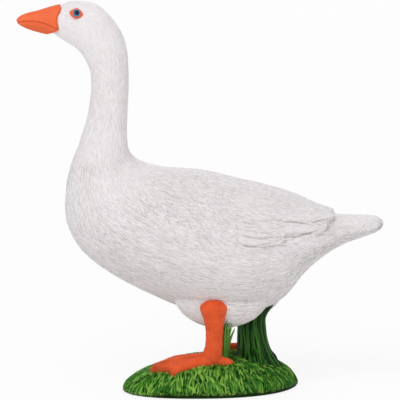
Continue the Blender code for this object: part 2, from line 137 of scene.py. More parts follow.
def ball(around, along):
    """A round ball of radius 1, to be drawn out into another form."""
    bm = bmesh.new()
    bmesh.ops.create_uvsphere(bm, u_segments=around, v_segments=along, radius=1.0)
    return bm


def place_on_ball(vert):
    """Where a point of a ball is: its share of the way from pole to pole, and its turn."""
    share = math.acos(max(-1.0, min(1.0, vert.co.z))) / math.pi
    return share, math.atan2(vert.co.y, vert.co.x)


def mesh_of(name, bm):
    """A bmesh as a mesh of its own."""
    mesh = bpy.data.meshes.new(name)
    bm.to_mesh(mesh)
    bm.free()
    return mesh


def added(name, data):
    """A new object of the scene that shows a mesh, a light or a camera."""
    thing = bpy.data.objects.new(name, data)
    bpy.context.scene.collection.objects.link(thing)
    return thing


def finished(name, mesh, material):
    """Makes a mesh in millimetres a piece of the figurine, at its place in the frame."""
    mesh.transform(Matrix.Scale(MM, 4))
    mesh.shade_smooth()
    mesh.materials.clear()
    mesh.materials.append(material)
    piece = added(name, mesh)
    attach(piece, "root")
    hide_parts("goose_figurine")


def as_mesh(name, bm):
    """A bmesh as a mesh of its own, with its faces pointing out."""
    bmesh.ops.recalc_face_normals(bm, faces=bm.faces)
    return mesh_of(name, bm)


def keep(mesh, name, values):
    """Keeps one number for each point of a mesh, for its paint to read."""
    mesh.attributes.new(name, "FLOAT", "POINT").data.foreach_set("value", values)


def feed(tree, target, inputs):
    """Gives inputs of a node a number, a colour or the output of another node."""
    for name, value in inputs.items():
        if isinstance(value, bpy.types.NodeSocket):
            tree.links.new(value, target.inputs[name])
        else:
            target.inputs[name].default_value = value


def node(tree, kind, inputs=None, **settings):
    """A new node of a material, with its settings and its inputs."""
    made = tree.nodes.new(kind)
    for setting, value in settings.items():
        setattr(made, setting, value)
    feed(tree, made, inputs or {})
    return made


def attribute(tree, name, output="Fac"):
    """What a mesh keeps for its points under a name."""
    return node(tree, "ShaderNodeAttribute", attribute_name=name).outputs[output]


def mixed(tree, share, first, second):
    """A colour between two colours."""
    inputs = {"Factor": share, "A": first, "B": second}
    return node(tree, "ShaderNodeMix", inputs, data_type="RGBA").outputs["Result"]


def hand_painted():
    """A painted coat: its colour drifts a little from place to place, and a thin darker wash has run into
    the hollows. The same wash also paints shade, in the hollows and on the shaded sides that a piece
    marks. It also gives the height of the fine grain of the paint."""
    group = bpy.data.node_groups.new("hand_painted", "ShaderNodeTree")
    for name in ("Paint", "Second paint", "Wash"):
        group.interface.new_socket(name=name, in_out="INPUT", socket_type="NodeSocketColor")
    for name in ("Shade and wash", "Wash strength", "Drift size", "Grain size"):
        group.interface.new_socket(name=name, in_out="INPUT", socket_type="NodeSocketFloat")
    for name, kind in (("Color", "Color"), ("Roughness", "Float"), ("Grain", "Float")):
        group.interface.new_socket(name=name, in_out="OUTPUT", socket_type="NodeSocket" + kind)
    given = group.nodes.new("NodeGroupInput").outputs
    place = group.nodes.new("ShaderNodeTexCoord").outputs["Object"]
    drift = node(
        group, "ShaderNodeTexNoise", {"Vector": place, "Scale": given["Drift size"], "Detail": 3.0}
    ).outputs["Fac"]
    share = node(group, "ShaderNodeMapRange", {"Value": drift, "From Min": 0.35, "From Max": 0.65})
    coat = mixed(group, share.outputs["Result"], given["Paint"], given["Second paint"])
    # The wash colour is mixed in by this amount, both as wash in the hollows and as painted shade.
    amount = {0: given["Shade and wash"], 1: given["Wash strength"]}
    washed = node(group, "ShaderNodeMath", amount, operation="MULTIPLY", use_clamp=True)
    colour = mixed(group, washed.outputs["Value"], coat, given["Wash"])
    grain = node(
        group, "ShaderNodeTexNoise", {"Vector": place, "Scale": given["Grain size"], "Detail": 2.0}
    ).outputs["Fac"]
    dull = node(group, "ShaderNodeMapRange", {"Value": grain, "To Min": 0.42, "To Max": 0.62})
    result = {"Color": colour, "Roughness": dull.outputs["Result"], "Grain": grain}
    feed(group, group.nodes.new("NodeGroupOutput"), result)
    return group


PAINTED = hand_painted()


def new_material(name):
    """A new material, its nodes and its shader."""
    material = bpy.data.materials.new(name)
    material.use_nodes = True
    tree = material.node_tree
    return material, tree, tree.nodes["Principled BSDF"]


def paint(name, first, second, wash, strength, drift, grain, grain_depth, specular):
    """A material of the hand-painted coat, with its own colours."""
    material, tree, shader = new_material(name)
    given = {
        "Paint": (*first, 1), "Second paint": (*second, 1), "Wash": (*wash, 1),
        "Shade and wash": attribute(tree, "shade_and_wash"), "Wash strength": strength,
        "Drift size": drift, "Grain size": grain,
    }
    coat = node(tree, "ShaderNodeGroup", given, node_tree=PAINTED, name="coat").outputs
    bump = node(tree, "ShaderNodeBump", {"Height": coat["Grain"], "Distance": grain_depth * MM})
    feed(tree, shader, {
        "Base Color": coat["Color"], "Roughness": coat["Roughness"],
        "Normal": bump.outputs["Normal"], "Specular IOR Level": specular,
    })
    return material


mound_paint = paint(
    "dark green grass paint", (0.006, 0.04, 0.003), (0.010, 0.055, 0.005), (0.002, 0.015, 0.001),
    strength=0.8, drift=350, grain=3000, grain_depth=0.05, specular=0.1,
)


def mound():
    """A ball pressed flat underneath, with low clumps on top."""
    bm = ball(MOUND_SIDES, MOUND_RINGS)
    for vert in bm.verts:
        share, turn = place_on_ball(vert)
        ring = round(share * MOUND_RINGS)
        share = math.sin(min(ring / (MOUND_RINGS - 2), 1.0) * math.pi / 2)
        edge_share = max(float(base_share(math.cos(turn), math.sin(turn))), 1e-9)
        rim = SOIL_RIM_SHARE * share / edge_share
        spot = Vector((rim * math.cos(turn), rim * math.sin(turn), 0))
        clump = noise.noise(spot / CLUMP_SIZE) * CLUMP_HEIGHT * (1 - share ** 6)
        spot.z = float(soil(spot.x, spot.y)) + clump
        if ring == MOUND_RINGS - 1:
            spot.z = 0.0
        if ring == MOUND_RINGS:
            spot = Vector((0, 0, 0))
        vert.co = spot
    centre = [v for v in bm.verts if v.co.length < 1e-6]
    bmesh.ops.dissolve_verts(bm, verts=centre)
    for edge in bm.edges:
        edge.smooth = any(vert.co.z > 0 for vert in edge.verts)
    return as_mesh("grass_mound", bm)


mound_mesh = mound()
# The whole mound is washed darker over its dark green: painted shade for the soil seen between the
# blades.
keep(mound_mesh, "shade_and_wash", np.full(len(mound_mesh.vertices), SOIL_SHADE_AND_WASH))
finished("grass_mound", mound_mesh, mound_paint)

# Grass blades. Short pointed blades combed outwards over the mound, each over the roots of the next,
# moulded with it and dry-brushed: dark at the root, yellow-green at the tip. Shade is painted at their
# roots and on their undersides.
ROW_STEP = 0.045
FIRST_ROW = 0.08
LAST_ROW = 1.01
BLADE_PITCH = 0.56
BLADE_LENGTH = 2.3
BLADE_WIDTH = 0.38
BLADE_LIFT = 0.45
BLADE_THICKNESS = 0.45
BLADE_CURL = 0.45
BLADE_SIDES = 5
BLADE_RINGS = 7
BLADE_SHAPE = (0.80, 0.16, 0.8)
BLADE_SEED = 11
BLADE_OVERHANG = 0.995
FLAT_LIFT_LOSS = 0.85
LIGHT_NEAR_Y = (-6.0, -13.0)
DARK_REAR_X = (1.0, 10.0)


def blade_form(sides, rings):
    """A closed tube one unit long: x runs along it, y across and z up."""
    bm = ball(sides, rings)
    for vert in bm.verts:
        share, turn = place_on_ball(vert)
        turn += math.pi / 2
        full = 1.0 if 0.001 < share < 0.999 else 0.0
        vert.co = (share, math.cos(turn) * full, math.sin(turn) * full)
    return as_mesh("blade", bm)


def blade_width(along, stretch, start, power):
    """The width of a blade along its length, as a share of its widest."""
    return np.sin(np.pi * np.clip(along * stretch + start, 0, 1)) ** power


def copies(form, count):
    """One mesh of many copies of a form. Their points follow each other, copy by copy."""
    bm = bmesh.new()
    for _ in range(count):
        bm.from_mesh(form)
    return mesh_of(form.name, bm)


def points_of(mesh, kind="co"):
    """The points of a mesh as rows of x, y and z, or the way that each faces."""
    rows = np.empty(len(mesh.vertices) * 3)
    mesh.vertices.foreach_get(kind, rows)
    return rows.reshape(-1, 3)


def placed(mesh, points):
    """Moves the points of a mesh."""
    mesh.vertices.foreach_set("co", np.ascontiguousarray(points, dtype=np.float32).ravel())
    mesh.update()


def blade_spots(chance):
    """Where the blades of the mound stand: x, y, heading, size, shade and curl of each."""
    spots = []
    share = FIRST_ROW
    while share <= LAST_ROW:
        length = math.pi * (BASE_LENGTH + BASE_DEPTH) / 2 * share
        count = max(7, round(length / BLADE_PITCH))
        for i in range(count):
            turn = 2 * math.pi * (i + chance.uniform(-0.45, 0.45)) / count
            out = share + chance.uniform(-0.03, 0.03)
            rim = out / float(base_share(math.cos(turn), math.sin(turn)))
            x = rim * math.cos(turn)
            y = rim * math.sin(turn)
            heading = math.atan2(y / BASE_DEPTH, x / BASE_LENGTH)
            heading += noise.noise(Vector((x, y, 0)) / 3.0) * 1.1 + chance.gauss(0, 0.25)
            curl = chance.uniform(-1, 1)
            spots.append((x, y, heading, chance.uniform(0.65, 1.3), chance.random(), curl))
        share += ROW_STEP * (1.0 if share < 0.7 else 0.72)
    return np.array(spots)


def blades():
    """All the blades of the mound, each laid along the ground with its tip a little off it."""
    chance = random.Random(BLADE_SEED)
    spots = blade_spots(chance)
    form = blade_form(BLADE_SIDES, BLADE_RINGS)
    along, across, up = points_of(form).T
    mesh = copies(form, len(spots))
    x, y, heading, size, shade, curl = (column[:, None] for column in spots.T)
    width = blade_width(along, *BLADE_SHAPE)
    step = (along - 0.45) * BLADE_LENGTH * size
    bend = curl * BLADE_CURL * np.sin(5.2 * along) * size
    side = across * width * BLADE_WIDTH / 2 * size + bend
    spot_x = x + np.cos(heading) * step - np.sin(heading) * side
    spot_y = y + np.sin(heading) * step + np.cos(heading) * side
    out = np.maximum(base_share(spot_x, spot_y), 1e-6)
    overhang = np.minimum(1.0, BLADE_OVERHANG / out)
    spot_x = spot_x * overhang
    spot_y = spot_y * overhang
    level = soil(spot_x, spot_y)
    lift = BLADE_LIFT * (size + 0.5 * (shade - 0.5)) * (1.3 * along ** 1.2 - 0.3)
    lift *= (1 - FLAT_LIFT_LOSS * flattened(spot_x, spot_y)) * ramp(out, 1.04, 0.9)
    body = np.where(up > 0, up, up * 0.6) * BLADE_THICKNESS * size * width
    height = np.maximum(level + lift + body, 0.06)
    placed(mesh, np.stack([spot_x, spot_y, height], axis=2).reshape(-1, 3))
    near = ramp(spots[:, 1], *LIGHT_NEAR_Y)
    rear = ramp(spots[:, 0], *DARK_REAR_X)
    shades = np.clip(1.2 * spots[:, 4] - 0.1 + 0.2 * near - 0.3 * rear, 0, 1)
    keep(mesh, "along", (along * (0.35 + 0.65 * shades[:, None])).ravel())
    keep(mesh, "shade", np.repeat(shades, len(along)))
    # Painted shade: each blade is darker at its root and on its underside.
    keep(mesh, "shade_and_wash", np.tile(np.clip(1.35 - along * 0.5 - 1.2 * up, 0, 1), len(spots)))
    return mesh


def grass_paint(name, dark, light, dry, tip):
    """Green grass paint: each blade has its own shade, drier in patches, and its tip is dry-brushed
    lighter; a strand is brushed lighter on its outer face, which also paints a highlight."""
    material = paint(
        name, dark, dry, (0.003, 0.022, 0.002),
        strength=0.9, drift=260, grain=3000, grain_depth=0.04, specular=0.15,
    )
    tree = material.node_tree
    coat = tree.nodes["coat"]
    own = mixed(tree, attribute(tree, "shade"), (*dark, 1), (*light, 1))
    feed(tree, coat, {"Paint": own})
    along = {"Value": attribute(tree, "along"), "From Min": 0.35, "To Max": 0.75}
    brushed = node(tree, "ShaderNodeMapRange", along).outputs["Result"]
    tipped = mixed(tree, brushed, coat.outputs["Color"], (*tip, 1))
    feed(tree, tree.nodes["Principled BSDF"], {"Base Color": tipped})
    return material


blade_paint = grass_paint(
    "grass blade paint",
    dark=(0.005, 0.060, 0.003), light=(0.10, 0.38, 0.022),
    dry=(0.035, 0.20, 0.010), tip=(0.46, 0.74, 0.13),
)
finished("grass_blades", blades(), blade_paint)

# Goose skin. Sections of the moulding from inside the bill to the tail: the belly point (x, z),
# the back point (x, z) and the half width of each. Plumage, wings and grass clump all start here.
GOOSE_SECTIONS = [
    ((-34.2, 74.2), (-33.2, 78.0), 1.6),
    ((-32.7, 73.4), (-31.1, 79.0), 2.1),
    ((-29.9, 71.5), (-28.2, 79.9), 3.0),
    ((-27.4, 69.8), (-23.3, 79.1), 3.3),
    ((-25.8, 67.6), (-19.1, 74.5), 3.3),
    ((-24.8, 64.6), (-17.4, 69.9), 3.3),
    ((-24.8, 60.7), (-17.0, 62.8), 3.4),
    ((-25.6, 55.7), (-17.3, 56.1), 3.7),
    ((-27.2, 50.5), (-17.3, 50.9), 4.7),
    ((-28.9, 45.9), (-16.6, 48.4), 6.3),
    ((-29.9, 41.1), (-14.4, 46.6), 8.3),
    ((-29.8, 34.4), (-10.6, 45.5), 10.4),
    ((-26.8, 28.5), (-6.5, 45.1), 12.0),
    ((-20.6, 23.5), (-1.6, 44.7), 13.2),
    ((-13.1, 19.5), (3.5, 43.5), 13.6),
    ((-5.7, 16.4), (7.6, 42.2), 13.4),
    ((2.0, 14.6), (11.1, 41.1), 12.6),
    ((9.0, 15.5), (14.1, 40.0), 11.3),
    ((14.7, 18.6), (17.4, 38.6), 9.8),
    ((19.2, 23.9), (20.5, 37.0), 8.4),
    ((23.3, 27.5), (23.3, 35.9), 7.8),
    ((27.2, 29.9), (26.8, 35.2), 8.2),
    ((31.0, 31.5), (30.8, 34.8), 8.4),
    ((33.6, 32.5), (33.5, 34.6), 7.0),
    ((35.1, 33.3), (35.1, 34.3), 5.0),
]
BELLY_TAPER = 0.08
GOOSE = [(*low, *high, half) for low, high, half in GOOSE_SECTIONS]


def between(points, place):
    """A smooth curve through a list of tuples, read at a place from 0 to the last index."""
    last = len(points) - 1
    index = min(int(place), last - 1)
    share = place - index
    a = points[max(index - 1, 0)]
    b = points[index]
    c = points[index + 1]
    d = points[min(index + 2, last)]

    def smooth(p, q, r, s):
        bend = 2 * p - 5 * q + 4 * r - s
        twist = 3 * (q - r) + s - p
        return q + 0.5 * share * (r - p + share * (bend + share * twist))

    return [smooth(*four) for four in zip(a, b, c, d)]


def section_point(sections, place, angle, lift=0.0, taper=0.0, flutes=0, groove=0.0):
    """A point on the skin drawn through the sections: angle 0 is the back, 180 degrees the belly."""
    x0, z0, x1, z1, half_width = between(sections, place)
    end = min(place, len(sections) - 1 - place)
    closing = math.sqrt(max(0.0, 1 - max(0.0, 1 - end) ** 2))
    middle = Vector(((x0 + x1) / 2, 0, (z0 + z1) / 2))
    up = Vector(((x1 - x0) / 2, 0, (z1 - z0) / 2))
    ripple = 1 + groove * math.cos(flutes * angle)
    reach = ripple * closing + lift / up.length
    side = ripple * closing * half_width + lift
    swell = 1 + taper * math.cos(angle)
    return middle + up * math.cos(angle) * reach + Vector((0, math.sin(angle) * side * swell, 0))


def goose_point(place, angle, lift=0.0):
    """A point on the skin of the goose, or lifted off it."""
    return section_point(GOOSE, place, angle, lift, BELLY_TAPER)


def radius(section):
    """The mean radius of a section."""
    x0, z0, x1, z1, half_width = section
    return (math.hypot(x1 - x0, z1 - z0) / 2 + half_width) / 2


def drawn(sections, around, along, **shape):
    """A closed body: a ball whose rings are drawn out along the sections."""
    bm = ball(around, along)
    last = len(sections) - 1
    for vert in bm.verts:
        share, angle = place_on_ball(vert)
        vert.co = section_point(sections, share * last, angle, **shape)
    bmesh.ops.recalc_face_normals(bm, faces=bm.faces)
    return bm


skin_form = drawn(GOOSE, around=96, along=260, taper=BELLY_TAPER)
skin = BVHTree.FromBMesh(skin_form)


def underside(x, y):
    """Height of the goose's belly over a point of the base."""
    return skin.ray_cast(Vector((x, y, 0)), Vector((0, 0, 1)))[0].z


# Legs. Bare legs with webbed feet, moulded with the goose and the mound and painted orange by
# hand. The left one is forward; each foot lies along the ground.
LEFT_LEG_X = 0.4
RIGHT_LEG_X = 9.0
RIGHT_FOOT_TURN = 24.0
LEG_SPREAD = 16.8
HOCK_HEIGHT = 19.6
HOCK_SWELL = 1.8
HOCK_NECK = 4.2
HOCK_LENGTH = 5.6
HOCK_WIDTH = 5.2
SHANK_LENGTH = 3.6
SHANK_WIDTH = 3.2
ANKLE_LENGTH = 4.0
TOE_LENGTHS = (10.4, 13.4, 9.6)
TOE_SPLAYS = (-15.0, 0.0, 20.0)
TOE_WIDTH = 2.3
FOOT_THICKNESS = 2.8
TOE_THICKNESS = 2.1
WEB_THICKNESS = 1.8
WEB_REACH = 0.86
RIGHT_TOE_SHARE = 0.88
RIGHT_FOOT_SHARE = 0.8
HIND_TOE_LENGTH = 4.2
HIND_TOE_SHARE = 0.8
TOE_SECTIONS = [(-0.12, 0.9), (0.1, 1.0), (0.4, 0.85), (0.7, 0.8), (0.88, 0.65), (1, 0.2)]
TIP_FALL = 0.1
ROOT_DEPTH = 1.5
LEG_GRAIN = 0.15
LEG_SMOOTHING = 6
SCALE_SIZE = 0.55
SCALE_HEIGHT = 0.08
GROUND_SHADE_HEIGHT = (1.3, 0.1)
TOE_SHADE_FRONT = (-9.0, -13.0)
TOE_SHADE_FRONT_SHARE = 0.65


def plate(place, along, across):
    """A closed slab: place(u, v, w) puts each point, with u from 0 to 1 along the slab,
    v from -1 to 1 across it, and w 0 underneath and 1 on top."""
    bm = bmesh.new()
    bmesh.ops.create_grid(bm, x_segments=along, y_segments=across, size=1.0)
    top = bmesh.ops.extrude_face_region(bm, geom=bm.faces[:], use_keep_orig=True)
    for item in top["geom"]:
        if isinstance(item, bmesh.types.BMVert):
            item.co.z = 1.0
    for vert in bm.verts:
        vert.co = place((vert.co.x + 1) / 2, vert.co.y, vert.co.z)
    bmesh.ops.recalc_face_normals(bm, faces=bm.faces)
    return bm


def shank(leg_x, side):
    """The bare leg from the hock, sunk in the thigh, to the ankle."""
    y = side * LEG_SPREAD / 2
    floor = float(ground(leg_x, y))
    top = HOCK_HEIGHT
    ankle = floor + FOOT_THICKNESS
    rows = [
        (top, HOCK_LENGTH * 0.75, HOCK_WIDTH * 0.8, 0.1),
        (top - HOCK_SWELL, HOCK_LENGTH, HOCK_WIDTH, -0.1),
        (top - HOCK_NECK, HOCK_LENGTH * 0.78, HOCK_WIDTH * 0.85, 0.05),
        ((top + ankle) / 2 - 1.2, SHANK_LENGTH, SHANK_WIDTH, 0.1),
        (ankle + 1.4, SHANK_LENGTH, SHANK_WIDTH, 0.0),
        (ankle - 0.4, ANKLE_LENGTH, SHANK_WIDTH, -0.3),
        (floor - 0.6, ANKLE_LENGTH, SHANK_WIDTH, -0.3),
    ]
    sections = []
    for z, length, width, shift in rows:
        x = leg_x + shift
        sections.append((x - length / 2, z, x + length / 2, z, width / 2))
    bm = drawn(sections, around=36, along=48)
    bm.transform(Matrix.Translation((0, y, 0)))
    return bm


def tip_fall(share):
    """How much of its thickness a toe or the web keeps at a share of its length."""
    return 1 - TIP_FALL * ramp(share, 0.6, 1.0)


def toe(leg_x, side, splay, length, thickness, height):
    """One toe, from under the ankle outwards over the mound; splay 180 points it backwards."""
    y = side * LEG_SPREAD / 2
    heading = math.radians(180) - side * math.radians(splay)
    sections = []
    for share, size in TOE_SECTIONS:
        step = share * length
        floor = float(ground(leg_x + math.cos(heading) * step, y + math.sin(heading) * step))
        rise = FOOT_THICKNESS + (thickness - FOOT_THICKNESS) * max(share, 0) ** 0.6
        top = floor + rise * (0.6 + 0.4 * size) * tip_fall(share) * height
        sections.append((step, floor - ROOT_DEPTH, step, top, TOE_WIDTH / 2 * size))
    bm = drawn(sections, around=24, along=32)
    bm.transform(Matrix.Translation((leg_x, y, 0)) @ Matrix.Rotation(heading, 4, "Z"))
    return bm


def web(leg_x, side, turn, toe_share, height):
    """The skin between the front toes, cut back in arcs between their tips."""
    centre_y = side * LEG_SPREAD / 2
    toes = [(splay, length * toe_share) for splay, length in zip(TOE_SPLAYS, TOE_LENGTHS)]

    def place(u, v, w):
        spot = v + 1
        splay, length = between(toes, spot)
        heading = math.radians(180) - side * math.radians(splay + turn)
        dip = math.sin(math.pi * spot) ** 2
        step = length * (0.94 + (WEB_REACH - 0.94) * dip) * (0.1 + 0.9 * u)
        x = leg_x + math.cos(heading) * step
        y = centre_y + math.sin(heading) * step
        thickness = FOOT_THICKNESS * 0.9 + (WEB_THICKNESS - FOOT_THICKNESS * 0.9) * min(1, 1.5 * u)
        top = thickness * tip_fall(u) * height
        return Vector((x, y, float(ground(x, y)) + (top if w else -ROOT_DEPTH)))

    return plate(place, along=16, across=24)


def modified(mesh, kind, **settings):
    """A mesh with a modifier applied to it."""
    name = mesh.name
    piece = added(name, mesh)
    modifier = piece.modifiers.new(name, kind)
    for setting, value in settings.items():
        setattr(modifier, setting, value)
    shown = piece.evaluated_get(bpy.context.evaluated_depsgraph_get())
    result = bpy.data.meshes.new_from_object(shown)
    bpy.data.objects.remove(piece)
    bpy.data.meshes.remove(mesh)
    result.name = name
    return result


def fused(name, forms, grain, rounds):
    """One closed skin round several closed forms, on a fine even grid, its joins softened."""
    whole = bmesh.new()
    for form in forms:
        part = as_mesh("form", form)
        whole.from_mesh(part)
        bpy.data.meshes.remove(part)
    mesh = modified(mesh_of(name, whole), "REMESH", mode="VOXEL", voxel_size=grain)
    return modified(mesh, "SMOOTH", iterations=rounds, factor=0.5)


def pushed_out(mesh, points, height):
    """Moves each point of a mesh along the way that it faces, by its own height."""
    placed(mesh, points + points_of(mesh, "normal") * height[:, None])


def noise_at(points, size):
    """Soft noise at points, from -1 to 1, with bumps of a size."""
    return np.array([noise.noise(p / size) for p in map(Vector, points)])


def hollows(mesh, rounds, depth):
    """How far each point lies below its surroundings: 0 on the level, 1 at the depth or more."""
    start = points_of(mesh)
    edges = np.empty(len(mesh.edges) * 2, dtype=np.int32)
    mesh.edges.foreach_get("vertices", edges)
    first, second = edges.reshape(-1, 2).T
    count = len(start)
    neighbours = np.bincount(edges, minlength=count)[:, None]
    level = start
    for _ in range(rounds):
        total = np.stack([
            np.bincount(first, level[second, k], count) + np.bincount(second, level[first, k], count)
            for k in range(3)
        ], axis=1)
        level = 0.5 * level + 0.5 * total / neighbours
    below = ((level - start) * points_of(mesh, "normal")).sum(axis=1)
    return np.clip(below / depth, -1, 1)


def leg(name, leg_x, side, turn=0.0, toe_share=1.0, height=1.0):
    """A whole bare leg with fine round scales on its skin. The foot is turned outwards, and its
    toes are shortened and sunk in the grass by their shares."""
    forms = [shank(leg_x, side), web(leg_x, side, turn, toe_share, height)]
    for splay, length in zip(TOE_SPLAYS, TOE_LENGTHS):
        forms.append(toe(leg_x, side, splay + turn, length * toe_share, TOE_THICKNESS, height))
    hind_thickness = TOE_THICKNESS * HIND_TOE_SHARE
    forms.append(toe(leg_x, side, 180 + turn, HIND_TOE_LENGTH, hind_thickness, height))
    mesh = fused(name, forms, LEG_GRAIN, LEG_SMOOTHING)
    points = points_of(mesh)
    scales = np.array([noise.cell_vector(p / SCALE_SIZE).x for p in map(Vector, points)])
    pushed_out(mesh, points, noise_at(points, SCALE_SIZE / 1.6) * SCALE_HEIGHT)
    # Painted shade where the foot meets the grass: darker near the ground and at the toe tips.
    ground_shade = ramp(points[:, 2] - ground(points[:, 0], points[:, 1]), *GROUND_SHADE_HEIGHT)
    toes = ramp(points[:, 0] - leg_x, *TOE_SHADE_FRONT)
    ground_shade = np.maximum(ground_shade, TOE_SHADE_FRONT_SHARE * toes)
    # Wash and painted shade in the hollows of the skin.
    shade_and_wash = np.clip(hollows(mesh, rounds=12, depth=0.05), 0, 1) * 0.6
    keep(mesh, "shade_and_wash", np.clip(shade_and_wash + ground_shade * 0.9 + (scales - 0.5) * 0.1, 0, 1))
    return mesh


leg_paint = paint(
    "orange leg paint", (0.82, 0.112, 0.026), (0.72, 0.085, 0.018), (0.16, 0.045, 0.006),
    strength=0.75, drift=500, grain=5000, grain_depth=0.05, specular=0.2,
)
left_mesh = leg("left_leg", LEFT_LEG_X, -1)
right_mesh = leg(
    "right_leg", RIGHT_LEG_X, 1, RIGHT_FOOT_TURN, RIGHT_TOE_SHARE, RIGHT_FOOT_SHARE
)
finished("left_leg", left_mesh, leg_paint)
finished("right_leg", right_mesh, leg_paint)

# Grass clump. A bundle of tall grass under the tail that carries the body, and a tuft that leans
# on the belly behind the left leg. Both are moulded in strands, painted dark green.
POST_X = 8.1
POST_LENGTH = 5.5
POST_DEPTH = 7.0
POST_FOOT_LENGTH = 8.0
SEAT_DEPTH = 1.5
STRANDS = 96
STRAND_WIDTH = 0.52
STRAND_THICKNESS = 0.5
STRAND_FOOT = 2.4
STRAND_SPREAD = (1.5, 0.6)
STRAND_SHAPE = (0.86, 0.1, 0.5)
STRAND_SEED = 5
STRAND_SINK = 0.28
CORE_FLUTES = 11
CORE_GROOVE = 0.06
CORE_SHADE_AND_WASH = 0.9
TUFT_BLADES = 15
TUFT_BLADE_WIDTH = 0.75
TUFT_BLADE_THICKNESS = 0.64
TUFT_HEIGHT = 13.2
TUFT_ROOT = 0.8
TUFT_SHAPE = (0.7, 0.28, 0.8)
TUFT_SEED = 21


def post_sections():
    """The core of the clump, flared into the mound below and the belly above."""
    floor = float(ground(POST_X, 0.0))
    rise = underside(POST_X, 0) + SEAT_DEPTH - floor
    half = POST_LENGTH / 2
    foot = POST_FOOT_LENGTH / 2
    rows = [
        (-0.25, foot * 1.2, foot * 1.1, 1.0),
        (0.02, foot, foot * 0.95, 1.0),
        (0.2, half * 1.15, POST_DEPTH / 2 * 1.15, 0.45),
        (0.5, half, POST_DEPTH / 2, 0.1),
        (0.78, half, POST_DEPTH / 2, 0.1),
        (1.02, half * 1.25, POST_DEPTH / 2 * 1.1, 0.9),
        (1.35, half * 1.4, POST_DEPTH / 2 * 1.1, 1.5),
    ]
    sections = []
    for share, length, depth, shift in rows:
        x = POST_X + shift
        z = floor + rise * share
        sections.append((x - length, z, x + length, z, depth))
    return sections


def strands():
    """Strands over the core, each a long tapered blade that wavers a little as it climbs. Their
    feet spread out over the mound."""
    chance = random.Random(STRAND_SEED)
    core = post_sections()
    form = blade_form(sides=6, rings=22)
    steps = points_of(form)
    mesh = copies(form, STRANDS)
    points = []
    shades = []
    for i in range(STRANDS):
        turn = 2 * math.pi * (i + chance.uniform(-0.3, 0.3)) / STRANDS
        low = chance.uniform(0.5, 0.95)
        high = chance.uniform(4.2, 5.4)
        sway = chance.uniform(-0.17, 0.17)
        lean = chance.uniform(-0.14, 0.14)
        reach = chance.uniform(0.3, 1.0) * STRAND_FOOT
        phase = chance.uniform(0, 6.3)
        size = chance.uniform(0.75, 1.25)
        shade = chance.random() ** 1.6
        for along, across, up in steps:
            place = low + (high - low) * along
            angle = turn + sway * math.sin(9.0 * along + phase) + lean * along
            width = blade_width(along, *STRAND_SHAPE)
            angle += across * width * size * STRAND_WIDTH / 2 / (POST_DEPTH / 2)
            lift = (0.12 + up) * STRAND_THICKNESS * size * width - STRAND_SINK
            point = section_point(core, place, angle, lift)
            spread = ramp(place, *STRAND_SPREAD)
            out = Vector((point.x - POST_X, point.y, 0)).normalized()
            point += out * reach * spread ** 1.5
            level = float(soil(point.x, point.y)) + (0.1 + up) * STRAND_THICKNESS * size * width
            point.z += (level - point.z) * spread ** 0.8
            points.append(point)
            shades.append(shade)
    placed(mesh, np.array(points))
    along, _, up = steps.T
    bright = 0.55 + 0.45 * np.array(shades)
    # The outer face of each strand is dry-brushed lighter, which also paints a highlight; its inner face
    # is darker, as painted shade.
    keep(mesh, "along", np.tile(0.15 + 0.85 * np.clip(up, 0, 1) ** 2, STRANDS) * bright)
    keep(mesh, "shade", np.array(shades))
    keep(mesh, "shade_and_wash", np.tile(np.clip(0.7 - 0.9 * up, 0, 1), STRANDS))
    return mesh


def tuft():
    """Blades that stand behind the left leg and lean on the belly."""
    chance = random.Random(TUFT_SEED)
    form = blade_form(sides=6, rings=11)
    steps = points_of(form)
    mesh = copies(form, TUFT_BLADES)
    y = -LEG_SPREAD / 2
    points = []
    for i in range(TUFT_BLADES):
        share = i / (TUFT_BLADES - 1)
        foot_x = LEFT_LEG_X + SHANK_LENGTH / 2 - 0.3 + 1.3 * share + chance.uniform(-0.15, 0.15)
        foot_y = y + 0.2 + 1.2 * ((i * 3) % 5) / 4
        tip_x = foot_x + 0.2 + 1.4 * share ** 2 + chance.uniform(-0.15, 0.15)
        tip_y = foot_y + chance.uniform(-0.5, 0.1)
        floor = float(ground(foot_x, foot_y))
        arch = 2.0 * math.sin(math.pi * (0.2 + 0.75 * share))
        tip_z = TUFT_HEIGHT + arch + chance.uniform(-0.7, 0.3)
        for along, across, up in steps:
            width = blade_width(along, *TUFT_SHAPE)
            bow = math.sin(math.pi * along) * 0.35 * (0.5 - share)
            x = foot_x + (tip_x - foot_x) * along ** 2.6 + bow
            x += across * width * TUFT_BLADE_WIDTH / 2
            depth = foot_y + (tip_y - foot_y) * along - up * width * TUFT_BLADE_THICKNESS / 2
            root = floor - TUFT_ROOT
            points.append((x, depth, root + (tip_z - root) * along))
    placed(mesh, np.array(points))
    along, _, up = steps.T
    keep(mesh, "along", np.tile(np.clip(along * 0.9, 0, 0.85), TUFT_BLADES))
    keep(mesh, "shade", np.repeat([chance.random() for _ in range(TUFT_BLADES)], len(steps)))
    # Painted shade: each tuft blade is darker on its back face.
    keep(mesh, "shade_and_wash", np.tile(np.clip(0.5 - 0.7 * up, 0, 1), TUFT_BLADES))
    return mesh


clump_paint = grass_paint(
    "dark grass clump paint",
    dark=(0.001, 0.014, 0.001), light=(0.014, 0.09, 0.006),
    dry=(0.004, 0.035, 0.002), tip=(0.08, 0.27, 0.035),
)
tuft_paint = grass_paint(
    "grass tuft paint",
    dark=(0.015, 0.08, 0.006), light=(0.09, 0.24, 0.025),
    dry=(0.05, 0.16, 0.015), tip=(0.20, 0.40, 0.07),
)
core_form = drawn(post_sections(), around=66, along=40, flutes=CORE_FLUTES, groove=CORE_GROOVE)
core_mesh = as_mesh("grass_clump_core", core_form)
# The core is washed almost black: painted shade in the gaps between the strands.
keep(core_mesh, "shade_and_wash", np.full(len(core_mesh.vertices), CORE_SHADE_AND_WASH))
finished("grass_clump_core", core_mesh, mound_paint)
finished("grass_clump", strands(), clump_paint)
finished("grass_tuft", tuft(), tuft_paint)
